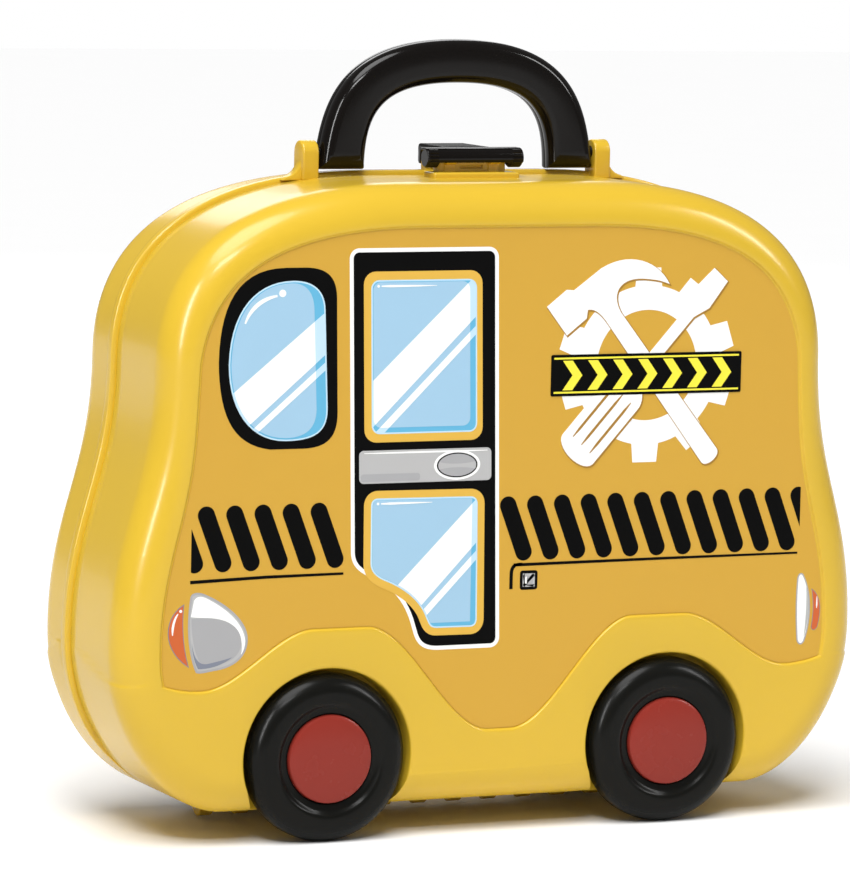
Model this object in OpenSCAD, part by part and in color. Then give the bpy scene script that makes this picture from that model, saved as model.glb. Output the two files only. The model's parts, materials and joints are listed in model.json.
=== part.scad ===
// Toy carry case in the shape of a small bus, closed and standing on its wheels.
// Millimetres. X runs along the bus, its nose at -X. The printed face looks along -Y.
// Z is up from the floor. The parts are drawn with the shells' seam at Y = 0, and
// placed so that the case's depth is centred.

/* [Case outline] */
// Half of the case's length at its widest, low on the sides
hip_half = 134.2; // [133.5:0.1:135.4]
// Height of that widest line
hip_z = 64; // [61:1:67]
// Half of the length at the narrow upper part
waist_half = 119.6; // [119:0.1:121]
// Height of the narrow upper part
waist_z = 155; // [152:1:158]
// Height of the top deck
top_z = 214.6; // [214.2:0.1:214.8]
// Height of the case's underside
bottom_z = 10; // [9.9:0.1:10.3]
// Half of the flat length of the top deck
deck_half = 31.7; // [30:0.1:34]
// Half of the flat length of the underside
floor_half = 94.5; // [94:0.1:97]

/* [Shells] */
// Depth of the front shell, from the seam to its flat face
front_depth = 50; // [49:0.5:52]
// Depth of the rear shell
rear_depth = 26; // [25.5:0.5:28]
// Radius of the rounded edge round each face
edge_r = 12; // [11.5:0.1:12]
// Wall thickness
wall = 2.2; // [2:0.1:2.3]
// How far the raised bumper stands proud of the face
bumper_rise = 1; // [0.8:0.1:1.2]
// Gap between the two shells at the seam
seam_gap = 0.4; // [0.35:0.05:0.5]
// How far the flange along the front shell's edge stands proud
flange_proud = 1.5; // [1.2:0.1:1.6]
// Width of that flange
flange_w = 4.2; // [3.8:0.1:4.4]

/* [Wheels] */
// Tyre radius
tyre_r = 27.7; // [27.5:0.1:28]
// Distance of each wheel from the middle of the case
wheel_x = 61.4; // [60.5:0.1:62]
// Tyre width
tyre_w = 12.3; // [12:0.1:12.6]
// Radius of the wheel well
well_r = 29.5; // [29.2:0.1:29.6]
// Radius of the axle pin
axle_r = 3; // [2.8:0.1:3]
// Radial play of the tyre on its axle pin
axle_play = 0.06; // [0.04:0.01:0.09]
// Radius of the hub cap's seat in the tyre
hub_r = 14.6; // [14.4:0.1:14.8]

/* [Handle] */
// Height of the handle's pivot
pivot_z = 222; // [221.8:0.1:222.2]
// Distance of the pivot in front of the seam
pivot_front = 4.2; // [4.2:0.1:4.6]
// Depth of the grip, front to back
grip_depth = 11; // [10.4:0.2:11]
// Half of the handle's width at its feet
foot_half = 50; // [49.6:0.1:50]
// Height of the handle's top
handle_top = 259.6; // [258:0.1:261]
// Thickness of the grip at its top
grip_t = 14.4; // [13.6:0.1:14.6]

/* [Latch and hinge] */
// Height of the latch's pivot
latch_z = 221; // [220.9:0.1:221.1]
// Distance of the latch's pivot in front of the seam
latch_y = 19; // [18.8:0.1:19.2]
// Half of the latch's width
latch_half = 17.4; // [17:0.2:17.8]
// Height of the hinge line
hinge_z = 5.2; // [5.1:0.1:5.3]
// Outer radius of the hinge knuckles
knuckle_r = 4; // [3.6:0.1:4.1]
// Radius of the hinge pin
hinge_pin_r = 1.5; // [1.4:0.1:1.6]
// Distance between knuckles of one shell
knuckle_pitch = 26; // [25.6:0.1:26]

/* [Printed labels] */
// Thickness of the printed film
film_t = 0.2; // [0.15:0.05:0.3]
// Slant of the printed vent slots, in degrees
slot_slant = 21; // [18:1:22]
// Lean of the printed door and windows, in degrees
print_lean = 1.5; // [0:0.1:2]

/* [Hidden] */
$fn = 64;

yellow = [0.93, 0.74, 0.27];
label_yellow = [0.86, 0.69, 0.28];
black = [0.1, 0.1, 0.09];
red = [0.66, 0.23, 0.18];
steel = [0.7, 0.7, 0.72];
white = [0.98, 0.98, 0.97];
silver = [0.72, 0.72, 0.73];

groove = 0.5;          // depth of the groove beside the flange
inner = wall;          // inset of the inner face of the walls
tongue_t = 1.2;        // locating tongue round the rear shell's mouth
tongue_h = 2.6;
tongue_gap = 0.45;
top_steps = 12;        // points along each curved run of the outline
side_steps = 10;
low_steps = 9;
well_depth = 9.7;                 // depth of the wheel well's back wall under the flat face
wheel_gap = 1;                    // space between the well's back wall and the tyre
cap_out = 0.7;                    // the hub cap's middle stands this far out of the tyre
seam_y = (front_depth - rear_depth) / 2;
// Depths from the seam, for the front shell (side -1) and the rear shell (side 1)
function face(side) = side < 0 ? front_depth : rear_depth;
function rim(side) = face(side) + bumper_rise;
function well(side) = face(side) - well_depth;
function tyre_at(side) = well(side) + wheel_gap;
pivot_y = -pivot_front;
wheel_z = tyre_r;
half_grip = grip_depth / 2;
lug_in = foot_half + 0.5;         // inner face of each handle lug
lug_t = 5.8;
run_play = 0.06;                  // radial play of the small pivots
knuckle_w = 5;
knuckles = 7;
hinge_len = knuckle_pitch * (knuckles - 1) + knuckle_w;
hinge_start = -hinge_len / 2 - knuckle_pitch / 4;
latch_pin_r = 1.2;
ear_r = 2.2;                      // ears that carry the latch pin
e = 0.01;

// A point at share t of the curve from a to d, drawn towards b and c
function curve(a, b, c, d, t) =
  pow(1 - t, 3) * a + 3 * pow(1 - t, 2) * t * b + 3 * (1 - t) * t * t * c + pow(t, 3) * d;
function shoulder(t) = curve([deck_half, top_z], [deck_half + 66, top_z],
  [waist_half, waist_z + 33.5], [waist_half, waist_z], t);
function flank(t) = curve([waist_half, waist_z], [waist_half, waist_z - 40],
  [hip_half, hip_z + 40], [hip_half, hip_z], t);
function haunch(t) = curve([hip_half, hip_z], [hip_half, hip_z - 30.5],
  [floor_half + 17.5, bottom_z], [floor_half, bottom_z], t);
right_half = concat(
  [for (i = [0 : top_steps - 1]) shoulder(i / top_steps)],
  [for (i = [0 : side_steps - 1]) flank(i / side_steps)],
  [for (i = [0 : low_steps]) haunch(i / low_steps)]);
half_n = len(right_half);
outline = concat(right_half, [for (i = [half_n - 1 : -1 : 0]) [-right_half[i][0], right_half[i][1]]]);
n = len(outline);
// Inward direction at each outline point
inward = [for (i = [0 : n - 1])
  let (d = outline[(i + 1) % n] - outline[(i + n - 1) % n]) [d[1], -d[0]] / norm(d)];
// The rounded edge is narrower at the waist than at the hips
function edge_w(z) = edge_r + 0.4 - 2.6 * exp(-pow((z - 148) / 28, 2));
function inset_pt(i, fixed, share) =
  outline[i] + (fixed + share * edge_w(outline[i][1])) * inward[i];
// The flange fades out towards the hinge
function flange(z) = flange_proud * ease((z - 14) / 22);
// side is -1 for the front shell and 1 for the rear
function ring(y, fixed, share, proud, side) =
  [for (i = [0 : n - 1]) let (p = inset_pt(i, fixed - proud * flange(outline[i][1]), share)) [p[0], side * y, p[1]]];
function strip(r) = [for (i = [0 : n - 1]) let (j = (i + 1) % n)
  each [[r * n + i, r * n + j, (r + 1) * n + j], [r * n + i, (r + 1) * n + j, (r + 1) * n + i]]];

arc_steps = 5;
arc = [for (k = [1 : arc_steps]) 90 * k / arc_steps];
inner_r = edge_r + bumper_rise - wall + 1;
// Profiles from the seam outwards, over the face and back inside.
// Each row is depth, inset, share of the rounded edge, share of the flange
function outer_edge(side) = concat(
  [[rim(side) - edge_r, 0, 0, 0]],
  [for (a = arc) [rim(side) - edge_r + edge_r * sin(a), 0, 1 - cos(a), 0]],
  [[rim(side), 0.6, 1, 0], [face(side), 1.6, 1, 0]]);
function inner_edge(side) = let (d = face(side) - wall) concat(
  [for (k = [arc_steps : -1 : 1]) let (a = 90 * k / arc_steps)
    [d - inner_r + inner_r * sin(a), inner, 1 - cos(a), 0]],
  [[d - inner_r, inner, 0, 0]]);
front_profile = concat(
  [[0, 0, 0, 1], [flange_w - 0.8, 0, 0, 1], [flange_w - 0.2, 0, 0, 0.6], [flange_w, groove, 0, 0],
   [flange_w + 0.6, groove, 0, 0], [flange_w + 1.4, 0, 0, 0]],
  outer_edge(-1), inner_edge(-1), [[0, inner, 0, 0]]);
rear_profile = concat(
  [[seam_gap, 0.5, 0, 0], [seam_gap + 0.8, 0, 0, 0]],
  outer_edge(1), inner_edge(1),
  [[7, inner, 0, 0], [5, inner + tongue_gap + tongue_t, 0, 0],
   [-tongue_h, inner + tongue_gap + tongue_t, 0, 0], [-tongue_h, inner + tongue_gap, 0, 0],
   [seam_gap, inner + tongue_gap, 0, 0]]);

// A hollow shell swept round the outline, its face closed by two flat sheets
module cup(profile, side) {
  m = len(profile);
  flat = m - len(side < 0 ? concat(inner_edge(side), [0]) : concat(inner_edge(side), [0, 0, 0, 0, 0])) - 1;
  pts = [for (p = profile) each ring(p[0], p[1], p[2], p[3], side)];
  outer_cap = [for (i = [0 : n - 1]) flat * n + i];
  inner_cap = [for (i = [n - 1 : -1 : 0]) (flat + 1) * n + i];
  lip = [for (i = [0 : n - 1]) let (j = (i + 1) % n)
    each [[(m - 1) * n + i, (m - 1) * n + j, j], [(m - 1) * n + i, j, i]]];
  strips = [for (r = [0 : m - 2]) if (r != flat) each strip(r)];
  all = concat([outer_cap, inner_cap], strips, lip);
  polyhedron(pts, side < 0 ? all : [for (f = all) [for (k = [len(f) - 1 : -1 : 0]) f[k]]]);
}

// Height of the wavy line where the bumper begins
function ease(t) = let (u = min(1, max(0, t))) u * u * (3 - 2 * u);
function wave(x) = let (a = abs(x))
  a < 61 ? 34.5 + 35.8 * ease((a - 4) / 44)
  : a < 106 ? 70.3 - 18.7 * ease((a - 67) / 39)
  : 51.6 + 0.013 * pow(a - 106, 2);
// The flat face's outline, drawn in by the given amount
function face_pts(fixed) = [for (i = [0 : n - 1]) inset_pt(i, fixed, 1)];
wave_xs = [for (k = [-60 : 60]) 2 * k];

module along_x(len) { translate([-len / 2, 0, 0]) rotate([90, 0, 90]) linear_extrude(len) children(); }
module flat_xz(y, t) { translate([0, y, 0]) rotate([90, 0, 0]) linear_extrude(t) children(); }
module rod_y(x, z, y0, y1, r) { translate([x, y0, z]) rotate([-90, 0, 0]) cylinder(h = y1 - y0, r = r); }
module rod_x(x0, x1, y, z, r) { translate([x0, y, z]) rotate([0, 90, 0]) cylinder(h = x1 - x0, r = r); }

module face_area() { polygon(face_pts(0.2)); }
module above_wave() { polygon(concat([for (x = wave_xs) [x, wave(x)]], [[120, 230], [-120, 230]])); }
module below_wave() { polygon(concat([for (x = wave_xs) [x, wave(x)]], [[120, 0], [-120, 0]])); }
// The raised bumper below the wavy line
module bumper(side) {
  root = 0.5;
  flat_xz(side < 0 ? root - face(side) : rim(side), bumper_rise + root)
    intersection() { face_area(); below_wave(); }
}
// Section of the underside's rounded edge, which keeps the wells inside the case
module under_section(side) {
  polygon(concat([[0, 100], [0, bottom_z], [rim(side) - edge_r, bottom_z]],
    [for (a = arc) [rim(side) - edge_r + edge_r * sin(a), bottom_z + edge_w(bottom_z) * (1 - cos(a))]],
    [[rim(side), 100]]));
}
// A rod along Y between two depths of one shell
module deep(side, x, z, d0, d1, r) { rod_y(x, z, side < 0 ? -d1 : d0, side < 0 ? -d0 : d1, r); }
module wells(side) {
  for (s = [-1, 1]) intersection() {
    deep(side, s * wheel_x, wheel_z, well(side) - wall, rim(side), well_r + wall);
    along_x(2 * floor_half) mirror([side < 0 ? 1 : 0, 0]) under_section(side);
  }
}
module well_hollows(side) { for (s = [-1, 1]) deep(side, s * wheel_x, wheel_z, well(side), rim(side) + 1, well_r); }
boss_r = 6;
boss_len = 10;
module axle_bosses(side) {
  for (s = [-1, 1]) deep(side, s * wheel_x, wheel_z, well(side) - boss_len, tyre_at(side) - 0.3, boss_r);
}
module axle_bores(side) {
  for (s = [-1, 1]) deep(side, s * wheel_x, wheel_z, well(side) - boss_len - 1, rim(side), axle_r);
}

// Knuckle k of the front shell sits at knuckle_x(k), and the rear ones half a pitch further on
function knuckle_x(k) = hinge_start + knuckle_pitch * k;
web_w = 5;
module knuckle(x, side) {
  rod_x(x, x + knuckle_w, 0, hinge_z, knuckle_r);
  translate([x, side < 0 ? -web_w : seam_gap, hinge_z]) cube([knuckle_w, web_w - seam_gap, bottom_z + 1.5 - hinge_z]);
}
module hinge_bore(r) { rod_x(hinge_start - 1, hinge_start + hinge_len + knuckle_pitch, 0, hinge_z, r); }

module front_shell() {
  color(yellow) translate([0, seam_y, 0]) difference() {
    union() {
      difference() {
        union() {
          cup(front_profile, -1);
          bumper(-1);
          wells(-1);
        }
        well_hollows(-1);
      }
      axle_bosses(-1);
      for (k = [0 : knuckles - 1]) knuckle(knuckle_x(k), -1);
      for (s = [-1, 1]) handle_lug(s);
      latch_boss();
    }
    axle_bores(-1);
    hinge_bore(hinge_pin_r);
    rod_x(-latch_half, latch_half, -latch_y, latch_z, latch_pin_r);
    for (s = [-1, 1]) rod_x(s > 0 ? lug_in - 1 : -lug_in - lug_t - 1, s > 0 ? lug_in + lug_t + 1 : 1 - lug_in, pivot_y, pivot_z, 2 + run_play);
  }
}
boss_half = 12.4;
deck_root = top_z - wall + 0.5;
wall_at = 0.6 - latch_y;          // front of the wall behind the latch pin
wall_top = latch_z + 0.9;
pad_half = 15.5;
pad_top = latch_z - 4.6;
ear_in = 6;
ear_w = 4;
// A pad, a wall with a finger slot, and two ears for the latch pin
module latch_boss() {
  difference() {
    translate([-boss_half, wall_at, deck_root]) cube([2 * boss_half, 3.4, wall_top - deck_root]);
    translate([-4, wall_at - 1, pad_top + 1]) cube([8, 1.8, 1.2]);
  }
  translate([-pad_half, -latch_y - 4.4, deck_root]) cube([2 * pad_half, 9, pad_top - deck_root]);
  for (x = [-ear_in - ear_w, ear_in]) {
    rod_x(x, x + ear_w, -latch_y, latch_z, ear_r);
    translate([x, wall_at - 0.4, deck_root]) cube([ear_w, ear_r - 0.2, latch_z - deck_root]);
  }
}

catch_half = 8;
catch_front = 1.4;
catch_back = 5;
catch_top = 221;
module rear_shell() {
  color(yellow) translate([0, seam_y, 0]) difference() {
    union() {
      difference() {
        union() {
          cup(rear_profile, 1);
          bumper(1);
          wells(1);
        }
        well_hollows(1);
      }
      axle_bosses(1);
      for (k = [0 : knuckles - 1]) knuckle(knuckle_x(k) + knuckle_pitch / 2, 1);
      translate([-catch_half, catch_front, deck_root]) cube([2 * catch_half, catch_back - catch_front, catch_top - deck_root]);
    }
    axle_bores(1);
    hinge_bore(hinge_pin_r + run_play);
  }
}
lug_r = 4.2;
lug_low = top_z - 2;         // root inside the top wall
module handle_lug(s) {
  mirror([s < 0 ? 1 : 0, 0, 0]) {
    rod_x(lug_in, lug_in + lug_t, pivot_y, pivot_z, lug_r);
    translate([lug_in, pivot_y - lug_r, lug_low]) cube([lug_t, 2 * lug_r, pivot_z - lug_low]);
    translate([0, pivot_y + 2.5, 0]) rotate([90, 0, 0]) linear_extrude(5)
      polygon(concat([[lug_in + lug_t - 1, lug_low], [lug_in + lug_t - 1, pivot_z - 1], [lug_in + lug_t, pivot_z - 1]],
        [for (a = [0 : 15 : 75]) [lug_in + lug_t + 6 - 6 * cos(a), top_z + 5.4 - 5.6 * sin(a)]],
        [[lug_in + lug_t + 5, lug_low]]));
  }
}

// ---- printed films on the flat face ----
label_y = seam_y - front_depth;
module print_film() { flat_xz(label_y - film_t, film_t) children(); }
module panel_label() {
  color(label_yellow) flat_xz(label_y, film_t)
    intersection() { polygon(face_pts(2)); translate([0, 0.4]) above_wave(); }
}
// Points of a printed outline, leaning about the given height
function leant(pts, z0) = [for (p = pts) [p[0] - tan(print_lean) * (p[1] - z0), p[1]]];
module round_box(x0, z0, x1, z1, r) {
  translate([x0 + r, z0]) square([x1 - x0 - 2 * r, z1 - z0]);
  translate([x0, z0 + r]) square([x1 - x0, z1 - z0 - 2 * r]);
  for (x = [x0 + r, x1 - r], z = [z0 + r, z1 - r]) translate([x, z]) circle(r);
}
module window_shape() {
  polygon(leant([for (t = [0 : 0.125 : 1]) curve([-60.4, 178], [-60.4, 186], [-65, 188], [-72, 188], t),
    for (t = [0 : 0.1 : 1]) curve([-78, 188], [-95, 188], [-101, 176], [-101.6, 158], t),
    for (t = [0 : 0.1 : 1]) curve([-101.6, 155], [-101, 139], [-96, 131], [-84, 129.4], t),
    for (t = [0 : 0.125 : 1]) curve([-72, 129.4], [-64, 129.6], [-60.4, 133], [-60.4, 141], t)], 150));
}
module window_print() { color(black) print_film() window_shape(); }
door_in = -54.6;
door_out = -1.6;
door_low = 61.7;
door_top = 194;
door_round = 3;
module door_print() {
  color(black) print_film() polygon(leant([
    for (a = [90 : -15 : 0]) [door_out - door_round + door_round * cos(a), door_top - door_round + door_round * sin(a)],
    for (a = [0 : -15 : -90]) [door_out - door_round + door_round * cos(a), door_low + door_round + door_round * sin(a)],
    for (t = [0 : 0.2 : 1]) curve([-26, 61.7], [-30, 61.8], [-31.4, 64], [-32.4, 67.4], t),
    for (t = [0 : 0.1 : 1]) curve([-33.6, 72], [-36.4, 80.6], [-42, 84.4], [-49, 87], t),
    for (t = [0 : 0.2 : 1]) curve([-50.6, 87.6], [-53, 89], [-54.6, 91], [-54.6, 95], t),
    for (a = [180 : -15 : 90]) [door_in + door_round + door_round * cos(a), door_top - door_round + door_round * sin(a)]], 100));
}
slot_w = 5.9;
slot_h = 22.6;
module slot(x, z) {
  translate([x, z]) rotate(slot_slant) {
    square([slot_w, slot_h - slot_w], center = true);
    for (s = [-1, 1]) translate([0, s * (slot_h - slot_w) / 2]) circle(slot_w / 2);
  }
}
slot_pitch = 9.8;
slot_z = 100.9;
module vents_left_print() {
  color(black) print_film() {
    intersection() {
      union() { for (k = [0 : 5]) slot(-63 - slot_pitch * k, slot_z); }
      translate([-110.4, 88]) square([55, 32]);
    }
    translate([-110.4, 87.4]) square([53.4, 1]);
  }
}
module vents_right_print() {
  color(black) print_film() {
    intersection() {
      union() { for (k = [0 : 11]) slot(4.5 + slot_pitch * k, slot_z); }
      translate([-2, 88]) square([112, 32]);
    }
    translate([3, 88.6]) square([106.6, 1]);
    translate([2.4, 81]) square([1.6, 8.6]);
  }
}
module filler_flap_print() { color(silver) print_film() round_box(6.4, 80.4, 12.8, 86.8, 0.8); }
module headlight_print() {
  color(silver) print_film() union() {
    polygon([for (t = [0 : 0.1 : 1]) curve([-110.7, 83], [-98, 82], [-90.3, 75], [-90.3, 69], t),
      for (t = [0 : 0.1 : 1]) curve([-90.3, 68], [-90.3, 60], [-100, 58], [-108, 58], t),
      for (t = [0 : 0.1 : 1]) curve([-109, 58.4], [-111.6, 65], [-112, 76], [-110.7, 83], t)]);
    polygon([for (t = [0 : 0.1 : 1]) curve([-111.4, 79.6], [-118.6, 76], [-119.4, 64], [-110.6, 60], t)]);
  }
}
module tail_light_print() {
  color(silver) print_film() union() {
    polygon([for (t = [0 : 0.1 : 1]) curve([109.6, 82], [114, 80], [114.6, 62], [110.4, 58], t),
      [109.4, 60]]);
    polygon([for (t = [0 : 0.1 : 1]) curve([113.6, 79], [119.8, 74], [119, 65], [113, 61.4], t)]);
  }
}
emblem_x = 50;
emblem_z = 154;
teeth = 12;
module emblem_print() {
  color(white) print_film() {
    difference() {
      union() {
        translate([emblem_x, emblem_z]) circle(27);
        for (k = [0 : teeth - 1]) translate([emblem_x, emblem_z]) rotate(360 * (k + 0.5) / teeth)
          translate([-4.6, 0]) square([9.2, 33]);
      }
      translate([emblem_x, emblem_z]) circle(18.6);
    }
    for (s = [-1, 1]) translate([emblem_x, emblem_z]) rotate(40 * s) translate([-4, -38]) square([8, 76]);
    translate([15.9, 144]) square([70.3, 13.4]);
  }
}

// ---- hinge and latch ----
module hinge_pin() {
  color(steel) translate([0, seam_y, 0]) rod_x(hinge_start - 0.5, hinge_start + hinge_len + knuckle_pitch / 2 + 0.5, 0, hinge_z, hinge_pin_r);
}
plate_under = 1.7;      // height of the clasp's plate above the latch pivot
plate_t = 1.7;
cover_r = plate_under + plate_t;
cover_in = 2.5;         // inside of the cover round the ears
cheek_in = boss_half + 0.4;
cheek_r = 3.2;
hook_y = latch_y + catch_back + 0.5;
hook_half = 8;
hook_low = -3.4;
plate_len = 3.4;
// A cover round the ears that runs back as a plate and a hook, with a cheek at each end
module latch_clasp() {
  color(black) translate([0, seam_y - latch_y, latch_z]) difference() {
    union() {
      for (x = [-latch_half, cheek_in]) rod_x(x, x + latch_half - cheek_in, 0, 0, cheek_r);
      along_x(2 * latch_half) polygon(concat(
        [for (a = [207 : -13 : 90]) cover_r * [cos(a), sin(a)]],
        [[plate_len, cover_r], [plate_len, plate_under], [plate_len - 0.8, cover_in]],
        [for (a = [90 : 13 : 207]) cover_in * [cos(a), sin(a)]]));
      along_x(2 * hook_half) polygon([[plate_len - 0.1, plate_under], [plate_len - 0.1, cover_r], [hook_y + 0.4, cover_r],
        for (a = [75 : -15 : 0]) [hook_y + 0.4 + 1.6 * cos(a), cover_r - 1.6 + 1.6 * sin(a)],
        [hook_y + 2, hook_low + 0.8], [hook_y + 1.2, hook_low], [hook_y, hook_low], [hook_y, plate_under]]);
    }
    rod_x(-latch_half - 1, latch_half + 1, 0, 0, latch_pin_r + run_play);
  }
}
module latch_pin() { color(steel) translate([0, seam_y, 0]) rod_x(-latch_half + 0.6, latch_half - 0.6, -latch_y, latch_z, latch_pin_r); }

// ---- handle ----
grip_steps = 30;
foot_z = 216.4;          // where the arch starts, under the rounding of its feet
function rim_out(t) = t <= 0.5
  ? curve([-foot_half, foot_z], [-48, 238], [-42, handle_top], [0, handle_top], 2 * t)
  : let (p = rim_out(1 - t)) [-p[0], p[1]];
function rim_in(t) = t <= 0.5
  ? curve([-33.7, foot_z], [-33.5, 234], [-29.5, handle_top - grip_t], [0, handle_top - grip_t], 2 * t)
  : let (p = rim_in(1 - t)) [-p[0], p[1]];
// One half of the grip, its long edges rounded
grip_round = 4;
round_steps = 6;
// Points across the grip's section at one place along the arch
function section_pts(a, b, side) = let (u = (b - a) / norm(b - a), w = norm(b - a))
  concat(
    [[a[0], 0, a[1]]],
    [for (k = [0 : round_steps]) let (q = 90 * k / round_steps, p = a + u * grip_round * (1 - cos(q)))
      [p[0], side * (half_grip - grip_round + grip_round * sin(q)), p[1]]],
    [for (k = [round_steps : -1 : 0]) let (q = 90 * k / round_steps, p = a + u * (w - grip_round * (1 - cos(q))))
      [p[0], side * (half_grip - grip_round + grip_round * sin(q)), p[1]]],
    [[b[0], 0, b[1]]]);
sec_n = 2 * round_steps + 4;
module grip_half(side) {
  pts = [for (k = [0 : grip_steps]) each section_pts(rim_out(k / grip_steps), rim_in(k / grip_steps), side)];
  faces = concat(
    [[for (i = [0 : sec_n - 1]) i]],
    [[for (i = [sec_n - 1 : -1 : 0]) grip_steps * sec_n + i]],
    [for (r = [0 : grip_steps - 1], i = [0 : sec_n - 1]) let (j = (i + 1) % sec_n)
      each [[r * sec_n + i, (r + 1) * sec_n + j, r * sec_n + j], [r * sec_n + i, (r + 1) * sec_n + i, (r + 1) * sec_n + j]]]);
  translate([0, pivot_y + seam_y, 0])
    polyhedron(pts, side > 0 ? faces : [for (f = faces) [for (k = [len(f) - 1 : -1 : 0]) f[k]]]);
}
grip_y = pivot_y + seam_y;
// The feet are round about the pivot, so that the handle can fold flat
module foot_round() {
  rod_x(-60, 60, grip_y, pivot_z, half_grip);
  translate([-60, grip_y - half_grip - 1, pivot_z]) cube([120, grip_depth + 2, 60]);
}
pin_in = 40;

screw_at = [-26, 0, 26];
function screw_z(x) = x == 0 ? handle_top - grip_t / 2 : 246;
module handle_front_half() {
  color(black) difference() {
    intersection() { grip_half(-1); foot_round(); }
    for (s = [-1, 1]) rod_x(s > 0 ? pin_in : -60, s > 0 ? 60 : -pin_in, grip_y, pivot_z, 2);
    for (x = screw_at) rod_y(x, screw_z(x), grip_y - 3, grip_y + 1, 1.1);
  }
}
module handle_rear_half() {
  color(black) difference() {
    intersection() { grip_half(1); foot_round(); }
    for (s = [-1, 1]) rod_x(s > 0 ? pin_in : -60, s > 0 ? 60 : -pin_in, grip_y, pivot_z, 2);
    for (x = screw_at) {
      rod_y(x, screw_z(x), grip_y - 1, grip_y + half_grip + 1, 1.1);
      rod_y(x, screw_z(x), grip_y + 2.4, grip_y + half_grip + 1, 2.4);
    }
  }
}
module handle_pivots() {
  color(black) for (s = [-1, 1]) rod_x(s > 0 ? pin_in : -lug_in - lug_t + 0.4, s > 0 ? lug_in + lug_t - 0.4 : -pin_in, grip_y, pivot_z, 2);
}
module handle_screws() {
  color(steel) for (x = screw_at) {
    rod_y(x, screw_z(x), grip_y - 2.8, grip_y + 2.4, 1.1);
    difference() {
      rod_y(x, screw_z(x), grip_y + 2.4, grip_y + 4, 2.2);
      for (a = [0, 90]) translate([x, grip_y + 3.7, screw_z(x)]) rotate([0, a, 0]) cube([2.6, 1, 0.6], center = true);
    }
  }
}

// ---- wheels ----
// Drawn on its side: back face at 0, axle along the drawing's Z
cap_seat = 8.2;
module tyre_body() {
  rotate_extrude($fn = 96) polygon(concat(
    [[axle_r + axle_play, 0], [9, 0], [9, 2.2], [22, 2.2], [22, 0.6], [24.5, 0]],
    [for (a = [-80 : 10 : 0]) [tyre_r - 3.5 + 3.5 * cos(a), 3.5 + 3.5 * sin(a)]],
    [for (a = [0 : 10 : 90]) [tyre_r - 6.2 + 6.2 * cos(a), tyre_w - 6 + 6 * sin(a)]],
    [[18.6, tyre_w - 0.15], [17.4, tyre_w - 0.8], [16.6, tyre_w - 1.6], [hub_r + 0.9, tyre_w - 1.7], [hub_r, tyre_w - 2.4],
     [hub_r, cap_seat], [axle_r + axle_play, cap_seat]]));
}
module hub_body() {
  dome = 1.2;
  rotate_extrude($fn = 96) polygon(concat(
    [[0, tyre_w - 1.2], [hub_r - 1.6, tyre_w - 1.2], [hub_r - 1.6, cap_seat], [hub_r, cap_seat], [hub_r, tyre_w - 1.4]],
    [for (k = [0 : 8]) let (r = (hub_r - 0.4) * (1 - k / 8)) [r, tyre_w + cap_out - dome * pow(r / hub_r, 2)]]));
}
module at_wheel(sx, side) {
  translate([sx * wheel_x, seam_y + side * tyre_at(side), wheel_z]) rotate([side < 0 ? 90 : -90, 0, 0]) children();
}
module tyre_front_left() { color(black) at_wheel(-1, -1) tyre_body(); }
module tyre_front_right() { color(black) at_wheel(1, -1) tyre_body(); }
module tyre_rear_left() { color(black) at_wheel(-1, 1) tyre_body(); }
module tyre_rear_right() { color(black) at_wheel(1, 1) tyre_body(); }
module hub_cap_front_left() { color(red) at_wheel(-1, -1) hub_body(); }
module hub_cap_front_right() { color(red) at_wheel(1, -1) hub_body(); }
module hub_cap_rear_left() { color(red) at_wheel(-1, 1) hub_body(); }
module hub_cap_rear_right() { color(red) at_wheel(1, 1) hub_body(); }
axle_head_t = 1.5;
axle_root = -wheel_gap - boss_len;      // the bosses' inner ends, from the tyre's back
module axle_pin() {
  head_at = cap_seat + 0.3;
  difference() {
    union() {
      translate([0, 0, axle_root + 1]) cylinder(h = head_at - axle_root, r = axle_r);
      translate([0, 0, head_at]) cylinder(h = axle_head_t, r = 5.6);
    }
    translate([0, 0, axle_root]) cylinder(h = 9, r = 1.2);
  }
}
module axle_screw() {
  translate([0, 0, axle_root - e]) cylinder(h = 8.6, r = 1.2);
  difference() {
    translate([0, 0, axle_root - 1.8]) cylinder(h = 1.8, r = 4.4);
    for (a = [0, 90]) translate([0, 0, axle_root - 1.6]) rotate(a) cube([3.6, 0.8, 1], center = true);
  }
}
module front_axle_pins() { color(steel) for (s = [-1, 1]) at_wheel(s, -1) axle_pin(); }
module rear_axle_pins() { color(steel) for (s = [-1, 1]) at_wheel(s, 1) axle_pin(); }
module front_axle_screws() { color(steel) for (s = [-1, 1]) at_wheel(s, -1) axle_screw(); }
module rear_axle_screws() { color(steel) for (s = [-1, 1]) at_wheel(s, 1) axle_screw(); }

rear_shell();
front_shell();
panel_label();
window_print();
door_print();
vents_left_print();
vents_right_print();
filler_flap_print();
headlight_print();
tail_light_print();
emblem_print();
hinge_pin();
latch_clasp();
latch_pin();
handle_front_half();
handle_rear_half();
handle_pivots();
handle_screws();
tyre_front_left();
hub_cap_front_left();
tyre_front_right();
hub_cap_front_right();
tyre_rear_left();
hub_cap_rear_left();
tyre_rear_right();
hub_cap_rear_right();
front_axle_pins();
rear_axle_pins();
front_axle_screws();
rear_axle_screws();
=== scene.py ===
import json
import math
import bmesh
import bpy
from bpy.props import FloatProperty, FloatVectorProperty, PointerProperty
from mathutils import Matrix, Vector


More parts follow.
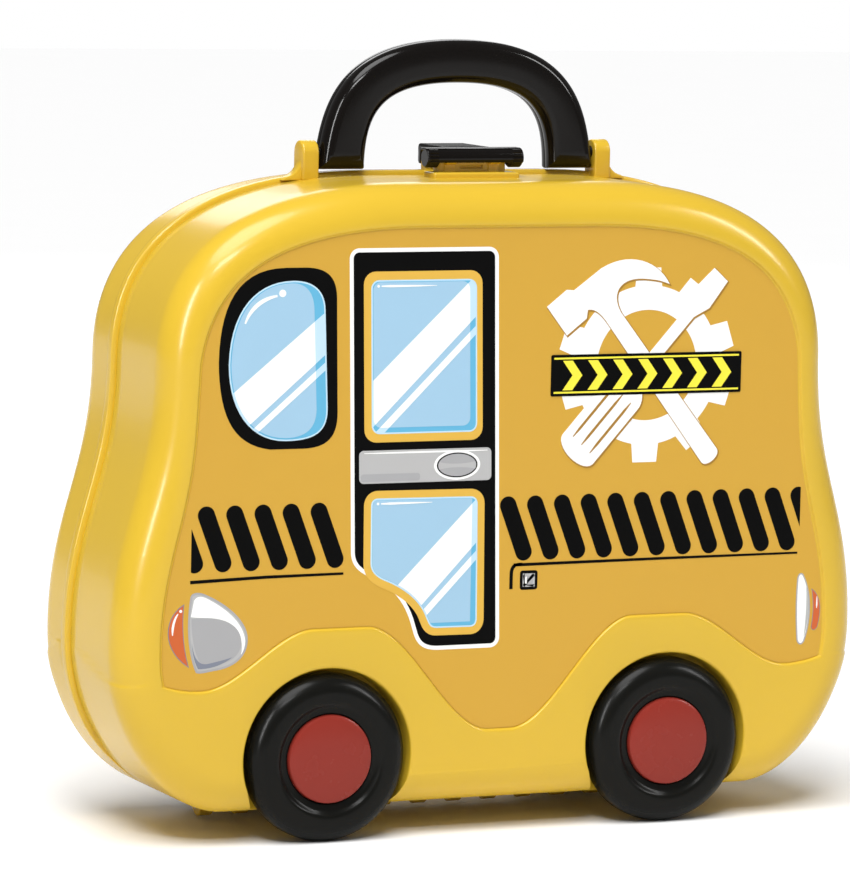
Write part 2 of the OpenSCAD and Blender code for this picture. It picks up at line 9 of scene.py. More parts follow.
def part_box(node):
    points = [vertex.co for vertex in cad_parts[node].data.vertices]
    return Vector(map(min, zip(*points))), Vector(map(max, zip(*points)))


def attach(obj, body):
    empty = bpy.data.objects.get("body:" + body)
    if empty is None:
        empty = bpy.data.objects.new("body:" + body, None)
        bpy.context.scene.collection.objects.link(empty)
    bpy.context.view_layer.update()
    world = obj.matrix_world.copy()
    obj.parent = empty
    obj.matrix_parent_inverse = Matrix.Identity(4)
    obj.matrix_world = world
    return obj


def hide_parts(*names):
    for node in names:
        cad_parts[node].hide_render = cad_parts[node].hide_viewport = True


bl_info = {
    "name": "Bus carry case",
    "version": (1, 0, 0),
    "blender": (4, 5, 0),
    "location": "3D View > Sidebar > Bus case",
    "description": "Builds the looks of a toy carry case in the shape of a bus",
    "category": "Object",
}

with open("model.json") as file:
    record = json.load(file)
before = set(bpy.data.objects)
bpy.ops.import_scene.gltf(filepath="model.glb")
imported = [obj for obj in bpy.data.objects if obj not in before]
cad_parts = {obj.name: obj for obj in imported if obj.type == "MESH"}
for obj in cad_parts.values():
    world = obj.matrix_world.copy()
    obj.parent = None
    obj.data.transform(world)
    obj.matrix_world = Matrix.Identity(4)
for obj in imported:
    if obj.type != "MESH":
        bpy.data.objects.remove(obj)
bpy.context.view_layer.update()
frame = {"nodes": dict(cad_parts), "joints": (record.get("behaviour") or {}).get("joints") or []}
JOINT = {j["name"]: [1000 * v for v in j["pos_m"]] for j in frame["joints"]}
WHEELS = {"front_left": -1, "front_right": -1, "rear_left": 1, "rear_right": 1}


def box_mm(node):
    """Lowest and highest corner of a CAD node, in millimetres."""
    lo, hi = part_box(node)
    return lo * 1000, hi * 1000


SEAM = JOINT["lid"][1]
FILM_LO, FILM_HI = box_mm("panel_label")
FRONT_FACE = SEAM - FILM_HI.y
REAR_RIM = box_mm("rear_shell")[1].y - SEAM
CASE_HI = box_mm("front_shell")[1]
FILM_Y = FILM_LO.y
KNUCKLES = 7


# ---- sizes and colours that a user would change ----

def length(name, text, value):
    return FloatProperty(name=name, description=text, default=value / 1000, unit="LENGTH", precision=5)


def colour(name, text, rgb):
    return FloatVectorProperty(name=name, description=text, default=rgb, subtype="COLOR", min=0, max=1)


class BusCaseSizes(bpy.types.PropertyGroup):
    """Sizes of the case"""
    flange_proud: length("Flange height", "How far the flange at the seam stands proud", 1.5)
    flange_width: length("Flange width", "Width of the flange at the seam", 4.2)
    waist_half: length("Waist", "Half of the case's length at the windows", 119.6)
    waist_z: length("Waist height", "Height of the narrowest upper part", 155)
    top_z: length("Deck height", "Height of the top deck", 214.6)
    bottom_z: length("Underside height", "Height of the underside", 10)
    deck_half: length("Deck", "Half of the flat length of the deck", 31.7)
    floor_half: length("Floor", "Half of the flat length of the underside", 94.5)
    hip_z: length("Hip height", "Height of the widest line", 64)
    edge_radius: length("Edge radius", "Radius of the rounding round each face", 12)
    wall: length("Wall", "Wall thickness", 2.2)
    bumper_rise: length("Bumper rise", "How far the bumper stands proud of the face", 1)
    well_radius: length("Wheel arch", "Radius of the wheel arches", 29.5)
    well_depth: length("Arch depth", "Depth of the wheel arches under the face", 9.7)
    tyre_radius: length("Tyre radius", "Radius of the tyres", 27.7)
    tyre_width: length("Tyre width", "Width of the tyres", 12.3)
    hub_radius: length("Hub radius", "Radius of the red hub caps", 14.6)
    slot_pitch: length("Vent pitch", "Distance between printed vent slots", 9.8)
    grip_round: length("Grip rounding", "Radius of the handle's long edges", 4)


class BusCaseColours(bpy.types.PropertyGroup):
    """Colours of the case"""
    shell: colour("Shell", "Glossy yellow of the two shells", (0.70, 0.455, 0.032))
    film: colour("Film", "Darker satin yellow of the printed film", (0.645, 0.37, 0.044))
    ochre: colour("Window frames", "Ochre frames of the door's windows", (0.76, 0.46, 0.07))
    ink: colour("Black print", "Black of the printed door, window and vents", (0.003, 0.003, 0.003))
    glass: colour("Printed glass", "Light blue of the printed windows", (0.36, 0.58, 0.76))
    glass_rim: colour("Glass rim", "Paler edge of the printed glass", (0.55, 0.76, 0.90))
    glass_shade: colour("Glass shade", "Deeper blue at the side of the printed glass", (0.13, 0.46, 0.70))
    white: colour("White print", "White of the outlines, bands and emblem", (0.93, 0.93, 0.91))
    silver: colour("Silver print", "Light grey of the lamps and the door bar", (0.62, 0.61, 0.61))
    grey: colour("Grey print", "Middle grey of the headlight", (0.40, 0.40, 0.41))
    slate: colour("Slate print", "Darker blue-grey shading of the lamps", (0.22, 0.24, 0.30))
    orange: colour("Orange print", "Orange of the side lamps", (0.62, 0.13, 0.035))
    chevron: colour("Chevrons", "Bright yellow of the emblem's band", (0.93, 0.83, 0.06))
    print_shade: colour("Print shade", "Brown shade beside the emblem's tools", (0.38, 0.20, 0.03))
    black: colour("Handle", "Glossy black of the handle and the latch", (0.005, 0.004, 0.0035))
    tyre: colour("Tyres", "Satin black of the tyres", (0.006, 0.006, 0.005))
    hub: colour("Hubs", "Red of the hub caps", (0.27, 0.030, 0.020))
    steel: colour("Steel", "Zinc-plated pins and screws", (0.62, 0.62, 0.63))


def size(name):
    return 1000 * getattr(bpy.context.scene.bus_case_sizes, name)


def shade(name):
    return tuple(getattr(bpy.context.scene.bus_case_colours, name))


# ---- finishes ----

def finish(name, rgb, rough, spread, grain, depth, coat=0.0, metal=0.0, drift=0.02, sheen=0.5):
    """A procedural plastic, print or metal. spread varies the roughness, grain is the bump's
    frequency, depth its strength, and drift the slight change of colour across the piece."""
    if name in bpy.data.materials:
        return bpy.data.materials[name]
    m = bpy.data.materials.new(name)
    m.use_nodes = True
    t = m.node_tree
    s = t.nodes["Principled BSDF"]
    s.inputs["Metallic"].default_value = metal
    s.inputs["Specular IOR Level"].default_value = sheen
    if coat:
        s.inputs["Coat Weight"].default_value = coat
        s.inputs["Coat Roughness"].default_value = 0.06
    where = t.nodes.new("ShaderNodeTexCoord").outputs["Object"]

    def noise(scale, detail):
        n = t.nodes.new("ShaderNodeTexNoise")
        n.inputs["Scale"].default_value = scale
        n.inputs["Detail"].default_value = detail
        t.links.new(where, n.inputs["Vector"])
        return n.outputs["Fac"]

    tint = t.nodes.new("ShaderNodeValToRGB")
    tint.color_ramp.elements[0].position = 0.3
    tint.color_ramp.elements[1].position = 0.7
    tint.color_ramp.elements[0].color = [c * (1 - drift) for c in rgb] + [1]
    tint.color_ramp.elements[1].color = [min(1, c * (1 + drift)) for c in rgb] + [1]
    t.links.new(noise(14, 3), tint.inputs["Fac"])
    t.links.new(tint.outputs["Color"], s.inputs["Base Color"])
    span = t.nodes.new("ShaderNodeMapRange")
    span.inputs["To Min"].default_value = rough - spread
    span.inputs["To Max"].default_value = rough + spread
    t.links.new(noise(90, 4), span.inputs["Value"])
    t.links.new(span.outputs["Result"], s.inputs["Roughness"])
    bump = t.nodes.new("ShaderNodeBump")
    bump.inputs["Strength"].default_value = depth
    bump.inputs["Distance"].default_value = 0.0002
    t.links.new(noise(grain, 2), bump.inputs["Height"])
    t.links.new(bump.outputs["Normal"], s.inputs["Normal"])
    m.diffuse_color = (*rgb, 1)
    return m


def shell_plastic():
    return finish("shell_plastic", shade("shell"), 0.25, 0.03, 60, 0.05, coat=0.12, sheen=0.34)


def printed(name, gloss=0.36):
    return finish("print_" + name, shade(name), gloss, 0.04, 900, 0.04, drift=0.012,
            sheen=0.04 if name == "ink" else 0.2)


def gloss_black():
    return finish("handle_plastic", shade("black"), 0.13, 0.03, 70, 0.05, drift=0.1, sheen=0.22)


def tyre_plastic():
    return finish("tyre_plastic", shade("tyre"), 0.24, 0.05, 700, 0.06, drift=0.1, sheen=0.12)


def hub_plastic():
    return finish("hub_plastic", shade("hub"), 0.27, 0.04, 300, 0.05, drift=0.03, sheen=0.2)


def plated_steel():
    return finish("plated_steel", shade("steel"), 0.28, 0.08, 1600, 0.12, metal=1.0, drift=0.06)


# ---- mesh helpers, in millimetres ----

def arc(r, degrees, x=0.0, z=0.0):
    """Points on a circle round (x, z), one for each angle in degrees."""
    return [(x + r * math.cos(math.radians(a)), z + r * math.sin(math.radians(a))) for a in degrees]


def moved(obj, x=0.0, y=0.0, z=0.0):
    obj.data.transform(Matrix.Translation((x / 1000, y / 1000, z / 1000)))
    return obj


def spun(obj, degrees, axis):
    """Turns a mesh about an axis through the origin."""
    obj.data.transform(Matrix.Rotation(math.radians(degrees), 4, axis))
    return obj


def new_object(name, verts, faces):
    mesh = bpy.data.meshes.new(name)
    mesh.from_pydata([Vector(v) / 1000 for v in verts], [], faces)
    obj = bpy.data.objects.new(name, mesh)
    bpy.context.scene.collection.objects.link(obj)
    outwards(obj)
    return obj


def outwards(obj):
    bm = bmesh.new()
    bm.from_mesh(obj.data)
    bmesh.ops.recalc_face_normals(bm, faces=bm.faces)
    bm.to_mesh(obj.data)
    bm.free()


def drop(obj):
    mesh = obj.data
    bpy.data.objects.remove(obj)
    bpy.data.meshes.remove(mesh)


def baked(obj):
    """Replaces an object's mesh by its evaluated one, and clears its modifiers."""
    bpy.context.view_layer.update()
    mesh = bpy.data.meshes.new_from_object(obj.evaluated_get(bpy.context.evaluated_depsgraph_get()))
    old = obj.data
    obj.modifiers.clear()
    obj.data = mesh
    bpy.data.meshes.remove(old)
    if not len(mesh.polygons):
        raise RuntimeError(f"{obj.name} came out empty")
    return obj


def combine(obj, tool, how):
    """Adds, cuts or keeps the overlap of two closed solids. The tool is used up."""
    m = obj.modifiers.new("solids", "BOOLEAN")
    m.operation = how
    m.solver = "MANIFOLD"
    m.object = tool
    baked(obj)
    drop(tool)
    return obj


def add(obj, *tools):
    for tool in tools:
        combine(obj, tool, "UNION")
    return obj


def cut(obj, *tools):
    for tool in tools:
        combine(obj, tool, "DIFFERENCE")
    return obj


def keep(obj, tool):
    return combine(obj, tool, "INTERSECT")


def soften(obj, width, steps=3, angle=28):
    """Rounds every edge sharper than the given angle."""
    bm = bmesh.new()
    bm.from_mesh(obj.data)
    edges = [e for e in bm.edges if e.is_manifold and e.calc_face_angle(0) > math.radians(angle)]
    bmesh.ops.bevel(bm, geom=edges, offset=width / 1000, segments=steps, profile=0.5, affect="EDGES",
            clamp_overlap=True)
    bmesh.ops.remove_doubles(bm, verts=bm.verts, dist=1e-6)
    bmesh.ops.recalc_face_normals(bm, faces=bm.faces)
    bm.to_mesh(obj.data)
    bm.free()
    return obj


def prism(name, points, lo, hi, along="Y"):
    """A flat outline made solid between two places. Along Y the points are (x, z), along X (y, z)."""
    n = len(points)
    place = (lambda p, w: (p[0], w, p[1])) if along == "Y" else (lambda p, w: (w, p[0], p[1]))
    verts = [place(p, w) for w in (lo, hi) for p in points]
    faces = [list(range(n)), list(range(2 * n - 1, n - 1, -1))]
    faces += [[i, (i + 1) % n, n + (i + 1) % n, n + i] for i in range(n)]
    return new_object(name, verts, faces)


def block(name, lo, hi):
    return prism(name, [(lo[0], lo[2]), (hi[0], lo[2]), (hi[0], hi[2]), (lo[0], hi[2])], lo[1], hi[1])


def turned(name, profile, spot, steps=96):
    """A closed profile of (radius, height) pairs turned round an axis. spot places (radius, angle, height)."""
    verts, rings = [], []
    for r, h in profile:
        many = steps if r > 1e-6 else 1
        rings.append((len(verts), many))
        verts += [spot(r, 2 * math.pi * k / steps, h) for k in range(many)]
    faces = []
    for a, b in zip(rings, rings[1:] + rings[:1]):
        for k in range(steps):
            j = (k + 1) % steps
            face = [a[0] + k % a[1], a[0] + j % a[1], b[0] + j % b[1], b[0] + k % b[1]]
            face = list(dict.fromkeys(face))
            if len(face) > 2:
                faces.append(face)
    return new_object(name, verts, faces)


def round_y(x, z, y0=0.0, way=1):
    return lambda r, a, h: (x + r * math.cos(a), y0 + way * h, z + r * math.sin(a))


def round_x(y, z, x0=0.0, way=1):
    return lambda r, a, h: (x0 + way * h, y + r * math.cos(a), z + r * math.sin(a))


def rod(name, spot, lo, hi, r, edge=0.0, steps=64):
    profile = [(0, lo), (r - edge, lo), (r, lo + edge), (r, hi - edge), (r - edge, hi), (0, hi)]
    return turned(name, profile if edge else [(0, lo), (r, lo), (r, hi), (0, hi)], spot, steps)


def join(name, objs):
    """One object from several closed pieces."""
    bm = bmesh.new()
    mats = []
    for o in objs:
        me = o.data
        slots = []
        for m in me.materials:
            if m not in mats:
                mats.append(m)
            slots.append(mats.index(m))
        start = len(bm.faces)
        bm.from_mesh(me)
        bm.faces.ensure_lookup_table()
        for f in bm.faces[start:]:
            f.material_index = slots[f.material_index] if slots else 0
        drop(o)
    mesh = bpy.data.meshes.new(name)
    bm.to_mesh(mesh)
    bm.free()
    for m in mats:
        mesh.materials.append(m)
    obj = bpy.data.objects.new(name, mesh)
    bpy.context.scene.collection.objects.link(obj)
    return obj


def smooth(obj, angle=30):
    obj.data.polygons.foreach_set("use_smooth", [True] * len(obj.data.polygons))
    obj.data.set_sharp_from_angle(angle=math.radians(angle))
    return obj


def painted(obj, material):
    obj.data.materials.clear()
    obj.data.materials.append(material)
    return obj


def finished(obj, body, nodes=(), angle=30):
    """Smooths a piece, gives it its body, and hides the CAD nodes it stands for."""
    smooth(obj, angle)
    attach(obj, body)
    if nodes:
        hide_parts(*nodes)
    return obj


# ---- repeats: one Geometry Nodes tree ----

def repeat_tree():
    """Copies of a template along a line, each turned a little further than the last."""
    name = "Repeat along a line"
    if name in bpy.data.node_groups:
        return bpy.data.node_groups[name]
    t = bpy.data.node_groups.new(name, "GeometryNodeTree")
    face = t.interface
    face.new_socket("Geometry", in_out="INPUT", socket_type="NodeSocketGeometry")
    face.new_socket("Template", in_out="INPUT", socket_type="NodeSocketObject")
    face.new_socket("Count", in_out="INPUT", socket_type="NodeSocketInt")
    face.new_socket("Start", in_out="INPUT", socket_type="NodeSocketVector")
    face.new_socket("Step", in_out="INPUT", socket_type="NodeSocketVector")
    face.new_socket("Turn", in_out="INPUT", socket_type="NodeSocketVector")
    face.new_socket("Finish", in_out="INPUT", socket_type="NodeSocketMaterial")
    face.new_socket("Geometry", in_out="OUTPUT", socket_type="NodeSocketGeometry")
    n, link = t.nodes, t.links
    given = n.new("NodeGroupInput")
    line = n.new("GeometryNodeMeshLine")
    line.mode = "OFFSET"
    info = n.new("GeometryNodeObjectInfo")
    info.inputs["As Instance"].default_value = True
    index = n.new("GeometryNodeInputIndex")
    turn = n.new("ShaderNodeVectorMath")
    turn.operation = "SCALE"
    copies = n.new("GeometryNodeInstanceOnPoints")
    real = n.new("GeometryNodeRealizeInstances")
    paint = n.new("GeometryNodeSetMaterial")
    out = n.new("NodeGroupOutput")
    link.new(given.outputs["Count"], line.inputs["Count"])
    link.new(given.outputs["Start"], line.inputs["Start Location"])
    link.new(given.outputs["Step"], line.inputs["Offset"])
    link.new(given.outputs["Template"], info.inputs["Object"])
    link.new(given.outputs["Turn"], turn.inputs[0])
    link.new(index.outputs["Index"], turn.inputs["Scale"])
    link.new(line.outputs["Mesh"], copies.inputs["Points"])
    link.new(info.outputs["Geometry"], copies.inputs["Instance"])
    link.new(turn.outputs["Vector"], copies.inputs["Rotation"])
    link.new(copies.outputs["Instances"], real.inputs["Geometry"])
    link.new(real.outputs["Geometry"], paint.inputs["Geometry"])
    link.new(given.outputs["Finish"], paint.inputs["Material"])
    link.new(paint.outputs["Geometry"], out.inputs["Geometry"])
    for k, node in enumerate(n):
        node.location = (180 * k, 0)
    return t


def repeated(name, template, count, start, step, material, turn=(0, 0, 0)):
    """A plain mesh of copies, in millimetres and degrees. The template is used up."""
    obj = bpy.data.objects.new(name, bpy.data.meshes.new(name))
    bpy.context.scene.collection.objects.link(obj)
    tree = repeat_tree()
    m = obj.modifiers.new("repeat", "NODES")
    m.node_group = tree
    key = {s.name: s.identifier for s in tree.interface.items_tree if s.item_type == "SOCKET" and s.in_out == "INPUT"}
    m[key["Template"]] = template
    m[key["Count"]] = count
    m[key["Start"]] = [v / 1000 for v in start]
    m[key["Step"]] = [v / 1000 for v in step]
    m[key["Turn"]] = [math.radians(v) for v in turn]
    m[key["Finish"]] = material
    baked(obj)
    drop(template)
    return obj


# ---- the case's outline ----

def bezier(a, b, c, d, t):
    u = 1 - t
    return tuple(u ** 3 * p + 3 * u * u * t * q + 3 * u * t * t * r + t ** 3 * s for p, q, r, s in zip(a, b, c, d))


def ease(t):
    u = min(1, max(0, t))
    return u * u * (3 - 2 * u)


def wave(x):
    """Height of the wavy line over the wheels, where the bumper begins."""
    a = abs(x)
    if a < 61:
        return 34.5 + 35.8 * ease((a - 4) / 44)
    if a < 106:
        return 70.3 - 18.7 * ease((a - 67) / 39)
    return 51.6 + 0.013 * (a - 106) ** 2


class Outline:
    """The case's outline, fine enough to look smooth, and dense where the side crease runs."""

    def __init__(self):
        hip, waist, deck, floor = CASE_HI.x - size("flange_proud"), size("waist_half"), size("deck_half"), size("floor_half")
        top, low, hz, wz = size("top_z"), size("bottom_z"), size("hip_z"), size("waist_z")
        shoulder = ((deck, top), (deck + 66, top), (waist, wz + 33.5), (waist, wz))
        flank = ((waist, wz), (waist, wz - 40), (hip, hz + 40), (hip, hz))
        haunch = ((hip, hz), (hip, hz - 30.5), (floor + 17.5, low), (floor, low))
        half = [bezier(*shoulder, k / 34) for k in range(34)]
        half += [bezier(*flank, k / 30) for k in range(30)]
        half += [bezier(*haunch, 0.006 * k) for k in range(28)]
        half += [bezier(*haunch, 0.168 + 0.832 * k / 26) for k in range(27)]
        self.points = half + [(-x, z) for x, z in reversed(half)]
        n = len(self.points)
        self.inward = []
        for i in range(n):
            d = Vector(self.points[(i + 1) % n]) - Vector(self.points[i - 1])
            self.inward.append(Vector((d.y, -d.x)).normalized())

    def edge_width(self, z):
        return size("edge_radius") + 0.4 - 2.6 * math.exp(-((z - 148) / 28) ** 2)

    def inset(self, fixed, share, proud=0.0, rise=None):
        """Points drawn in by a fixed amount and a share of the rounding, less the flange and a rise."""
        flange = size("flange_proud")
        pts = []
        for i, ((x, z), inward) in enumerate(zip(self.points, self.inward)):
            by = fixed + share * self.edge_width(z) - proud * flange * ease((z - 14) / 22)
            if rise:
                by -= rise(z)
            pts.append((x + by * inward.x, z + by * inward.y))
        return pts


def crease(depth, rim):
    """Rise of the skin below the line that carries the bumper's edge round the side."""
    line = 62 - 8.5 * ease((depth - 5.6) / (rim - 5.6))
    return lambda z: 0.42 * ease((line - z) / 1.0) * (1 - ease((line - z - 2) / 15))


def shell_skin(name, side, rim, mouth, tail):
    """A hollow shell swept round the outline: mouth rows, skin, rounded edge, rim and face, then back inside."""
    o = Outline()
    edge, rise, wall = size("edge_radius"), size("bumper_rise"), size("wall")
    face = rim - rise
    skin_from = mouth[-1][0]
    rows = list(mouth)
    start = rim - edge
    rows += [(skin_from + (start - skin_from) * k / 5, 0, 0, 0) for k in range(1, 6)]
    rows += [(start + edge * math.sin(math.radians(a)), 0, 1 - math.cos(math.radians(a)), 0) for a in range(6, 91, 6)]
    rows += [(rim, 0.3, 1, 0), (rim, 0.7, 1, 0), (rim - 0.05, 0.95, 1, 0), (rim - 0.2, 1.15, 1, 0),
            (rim - 0.5, 1.32, 1, 0),
             (rim - 0.8, 1.5, 1, 0), (face + 0.05, 1.72, 1, 0), (face, 2.0, 1, 0), (face, 2.4, 1, 0)]
    flat = len(rows) - 1
    r, d = edge + rise - wall + 1, face - wall
    rows += [(d - r + r * math.sin(math.radians(a)), wall, 1 - math.cos(math.radians(a)), 0)
            for a in range(90, -1, -15)]
    rows += list(tail)
    verts, n = [], len(o.points)
    for depth, fixed, share, proud in rows:
        on_skin = len(verts) // n
        bend = crease(depth, rim) if len(mouth) <= on_skin < flat - 8 else None
        verts += [(x, SEAM + side * depth, z) for x, z in o.inset(fixed, share, proud, bend)]
    faces = [[flat * n + i for i in range(n)], [(flat + 1) * n + i for i in range(n)]]
    for k in range(len(rows)):
        if k != flat:
            j = (k + 1) % len(rows)
            faces += [[k * n + i, k * n + (i + 1) % n, j * n + (i + 1) % n, j * n + i] for i in range(n)]
    return new_object(name, verts, faces)


def bumper(side, rim):
    """The raised part of the face below the wavy line, its edge rounded."""
    rise = size("bumper_rise")
    face, r = rim - rise, rise - 0.06
    verts, n = [], 0
    for k in range(-125, 126):
        x = k * 0.98
        w = wave(x)
        section = [(0, face - 0.5), (0, rim), (w - 2.4, rim)]
        section += [(w - r + q, rim - r + p) for q, p in arc(r, range(90, -1, -15))]
        section += [(w + 0.04, face - 0.5)]
        n = len(section)
        verts += [(x, SEAM + side * d, z) for z, d in section]
    total = len(verts) // n
    faces = [list(range(n)), [(total - 1) * n + i for i in range(n)]]
    faces += [[k * n + i, k * n + (i + 1) % n, (k + 1) * n + (i + 1) % n, (k + 1) * n + i] for k in range(total - 1)
            for i in range(n)]
    body = new_object("bumper", verts, faces)
    edge = prism("bumper_edge", Outline().inset(0.5, 1), SEAM + side * (face - 1), SEAM + side * (rim + 1))
    return keep(body, edge)


def under_section(side, rim):
    edge = size("edge_radius")
    low = size("bottom_z")
    wide = Outline().edge_width(low)
    pts = [(0, 100), (0, low), (rim - edge, low)]
    pts += [(rim - edge + edge * math.sin(math.radians(a)), low + wide * (1 - math.cos(math.radians(a))))
            for a in range(10, 91, 10)]
    pts += [(rim, 100)]
    return prism("under", [(SEAM + side * d, z) for d, z in pts], -size("floor_half"), size("floor_half"), "X")


def knuckles(side, first, count, pitch, width):
    """The row of rounded hinge knuckles with their webs."""
    z, low = JOINT["lid"][2], size("bottom_z")
    one = rod("knuckle", round_x(0, 0), 0, width, 4.0, 0.4, 40)
    web = prism("web", [(side * 0.4, 0), (side * 5, 0), (side * 5, low + 1.5 - z), (side * 0.4, low + 1.5 - z)], 0,
            width, "X")
    add(one, soften(web, 0.3, 2))
    return repeated("knuckles", one, count, (first, SEAM, z), (pitch, 0, 0), shell_plastic())


def shell(side, rim, mouth, tail, first):
    wall, rise, low = size("wall"), size("bumper_rise"), size("bottom_z")
    face = rim - rise
    back = face - size("well_depth")
    radius = size("well_radius")
    obj = shell_skin("shell", side, rim, mouth, tail)
    add(obj, bumper(side, rim))
    wheel_x = abs(JOINT["wheel_front_left"][0])
    wheel_z = JOINT["wheel_front_left"][2]
    for s in (-1, 1):
        spot = round_y(s * wheel_x, wheel_z, SEAM, side)
        tube = rod("well", spot, back - wall, rim - 0.02, radius + wall, 0, 128)
        add(obj, keep(tube, under_section(side, rim)))
        mouth_round = [(radius + 0.9 * (1 - math.cos(math.radians(a))), rim - 0.9 + 0.9 * math.sin(math.radians(a)))
                for a in range(0, 91, 18)]
        cut(obj, turned("hollow", [(0, back), (radius - 0.8, back), (radius - 0.2, back + 0.25),
                (radius, back + 0.8)] + mouth_round
                        + [(radius + 0.9, rim + 2), (0, rim + 2)], spot, 128))
        add(obj, rod("boss", spot, back - 10, back + 0.7, 6, 0.3, 48))
        for a in (0, 60, 120):
            rib = spun(block("rib", (-9.5, -3.2, -0.6), (9.5, 3.2, 0.6)), a, "Y")
            add(obj, moved(rib, s * wheel_x, SEAM + side * (back - 5), wheel_z))
    add(obj, knuckles(side, first, KNUCKLES, box_pitch(), 5))
    return obj


def box_pitch():
    """Pitch of the hinge knuckles, from the pin's length."""
    lo, hi = box_mm("hinge_pin")
    return (hi.x - lo.x - 1 - 5) / 6.5


def hinge_start():
    return box_mm("hinge_pin")[0].x + 0.5


def ribs_inside(obj, side, rim):
    """Low stiffening ribs on the inside of the face."""
    face = rim - size("bumper_rise") - size("wall")
    a, b = SEAM + side * (face + 0.3), SEAM + side * (face - 1.6)
    one = prism("rib", [(-0.6, -46), (0.6, -46), (0.6, 46), (-0.6, 46)], a, b)
    add(obj, repeated("ribs", soften(one, 0.25, 2), 7, (-78, 0, 138), (26, 0, 0), shell_plastic()))
    return obj


class BUSCASE_OT_front_shell(bpy.types.Operator):
    """Make the front shell with its flange, bumper, wheel arches, lugs and latch boss"""
    bl_idname = "buscase.front_shell"
    bl_label = "Front shell"

    def execute(self, context):
        w, wall = size("flange_width"), size("wall")
        mouth = [(0.0, 0.45, 0, 1), (0.13, 0.13, 0, 1), (0.45, 0, 0, 1), (1.2, 0, 0, 1), (w - 1.2, 0, 0, 1),
                (w - 0.6, 0.02, 0, 0.97),
                 (w - 0.25, 0.06, 0, 0.72), (w - 0.06, 0.25, 0, 0.25), (w, 0.5, 0, 0), (w + 0.12, 0.55, 0, 0),
                 (w + 0.55, 0.55, 0, 0),
                 (w + 0.75, 0.4, 0, 0), (w + 1.0, 0.12, 0, 0), (w + 1.4, 0, 0, 0)]
        obj = shell(-1, FRONT_FACE + size("bumper_rise"), mouth, [(6, wall, 0, 0), (0, wall, 0, 0)], hinge_start())
        ribs_inside(obj, -1, FRONT_FACE + size("bumper_rise"))
        top = size("top_z")
        px, py, pz = JOINT["handle"]
        inner = 50.5
        for s in (-1, 1):
            tab = [(py - 4.2, top - 1.6), (py - 4.2, pz)] + arc(4.2, range(165, 0, -15), py, pz)
            tab += [(py + 4.2, pz), (py + 4.2, top - 1.6)]
            lug = soften(prism("lug", tab, s * inner, s * (inner + 5.8), "X"), 0.7, 4)
            flare = [(inner + 3, top - 1.6), (inner + 3, pz - 1), (inner + 5.75, pz - 1)]
            flare += [(inner + 11.8 - 6 * math.cos(math.radians(a)), top + 5.4 - 5.9 * math.sin(math.radians(a)))
                    for a in range(0, 81, 10)]
            flare += [(inner + 12.5, top - 1.6)]
            gusset = prism("gusset", [(s * x, z) for x, z in flare], py - 2.5, py + 2.5)
            add(obj, lug, soften(gusset, 0.45, 2, 50))
        lx, ly, lz = JOINT["latch"]
        wall_back = soften(block("wall", (-12.4, ly + 0.6, top - 1.7), (12.4, ly + 4.0, lz + 0.9)), 0.35, 3)
        slot = soften(block("slot", (-4.2, ly - 0.4, lz - 3.6), (4.2, ly + 1.6, lz - 2.4)), 0.2, 2)
        cut(wall_back, slot)
        pad = soften(block("pad", (-15.5, ly - 4.4, top - 1.7), (15.5, ly + 4.6, lz - 4.6)), 0.7, 4)
        add(obj, wall_back, pad)
        for x in (-10, 6):
            ear = rod("ear", round_x(ly, lz), x, x + 4, 2.2, 0.3, 48)
            stem = block("stem", (x, ly + 0.2, top - 1.7), (x + 4, ly + 2.2, lz))
            add(obj, ear, soften(stem, 0.3, 2))
        finished(painted(obj, shell_plastic()), "case_front", ["front_shell"])
        obj.name = "front_shell_body"
        return {"FINISHED"}


class BUSCASE_OT_rear_shell(bpy.types.Operator):
    """Make the rear shell with its tongue, wheel arches, knuckles and catch"""
    bl_idname = "buscase.rear_shell"
    bl_label = "Rear shell"

    def execute(self, context):
        wall = size("wall")
        gap, tongue = 0.4, wall + 0.45
        mouth = [(gap, 0.6, 0, 0), (gap + 0.15, 0.28, 0, 0), (gap + 0.45, 0.06, 0, 0), (gap + 0.9, 0, 0, 0)]
        tail = [(7, wall, 0, 0), (5, tongue + 1.2, 0, 0), (-2.4, tongue + 1.2, 0, 0), (-2.6, tongue + 1.0, 0, 0),
                (-2.6, tongue + 0.25, 0, 0), (-2.35, tongue, 0, 0), (gap, tongue, 0, 0)]
        obj = shell(1, REAR_RIM, mouth, tail, hinge_start() + box_pitch() / 2)
        ribs_inside(obj, 1, REAR_RIM)
        top = size("top_z")
        hi = box_mm("rear_shell")[1].z
        catch = [(SEAM + 1.4, top - 1.7), (SEAM + 5, top - 1.7), (SEAM + 5, hi - 1.4), (SEAM + 3.6, hi),
                (SEAM + 1.4, hi)]
        add(obj, soften(prism("catch", catch, -8, 8, "X"), 0.4, 3))
        finished(painted(obj, shell_plastic()), "case_rear", ["rear_shell"])
        obj.name = "rear_shell_body"
        return {"FINISHED"}


# ---- printed films: flat outlines laid over each other, in (x, z) millimetres ----

def path(*runs):
    """Points along straight runs of two points and curved runs of four."""
    pts = []
    for run in runs:
        steps = 14 if len(run) == 4 else 1
        for k in range(steps + 1):
            p = bezier(*run, k / steps) if len(run) == 4 else run[k]
            if not pts or (Vector(p) - Vector(pts[-1])).length > 0.02:
                pts.append(tuple(p))
    if (Vector(pts[0]) - Vector(pts[-1])).length < 0.02:
        pts.pop()
    return pts


def area(pts):
    return sum(a[0] * b[1] - b[0] * a[1] for a, b in zip(pts, pts[1:] + pts[:1])) / 2


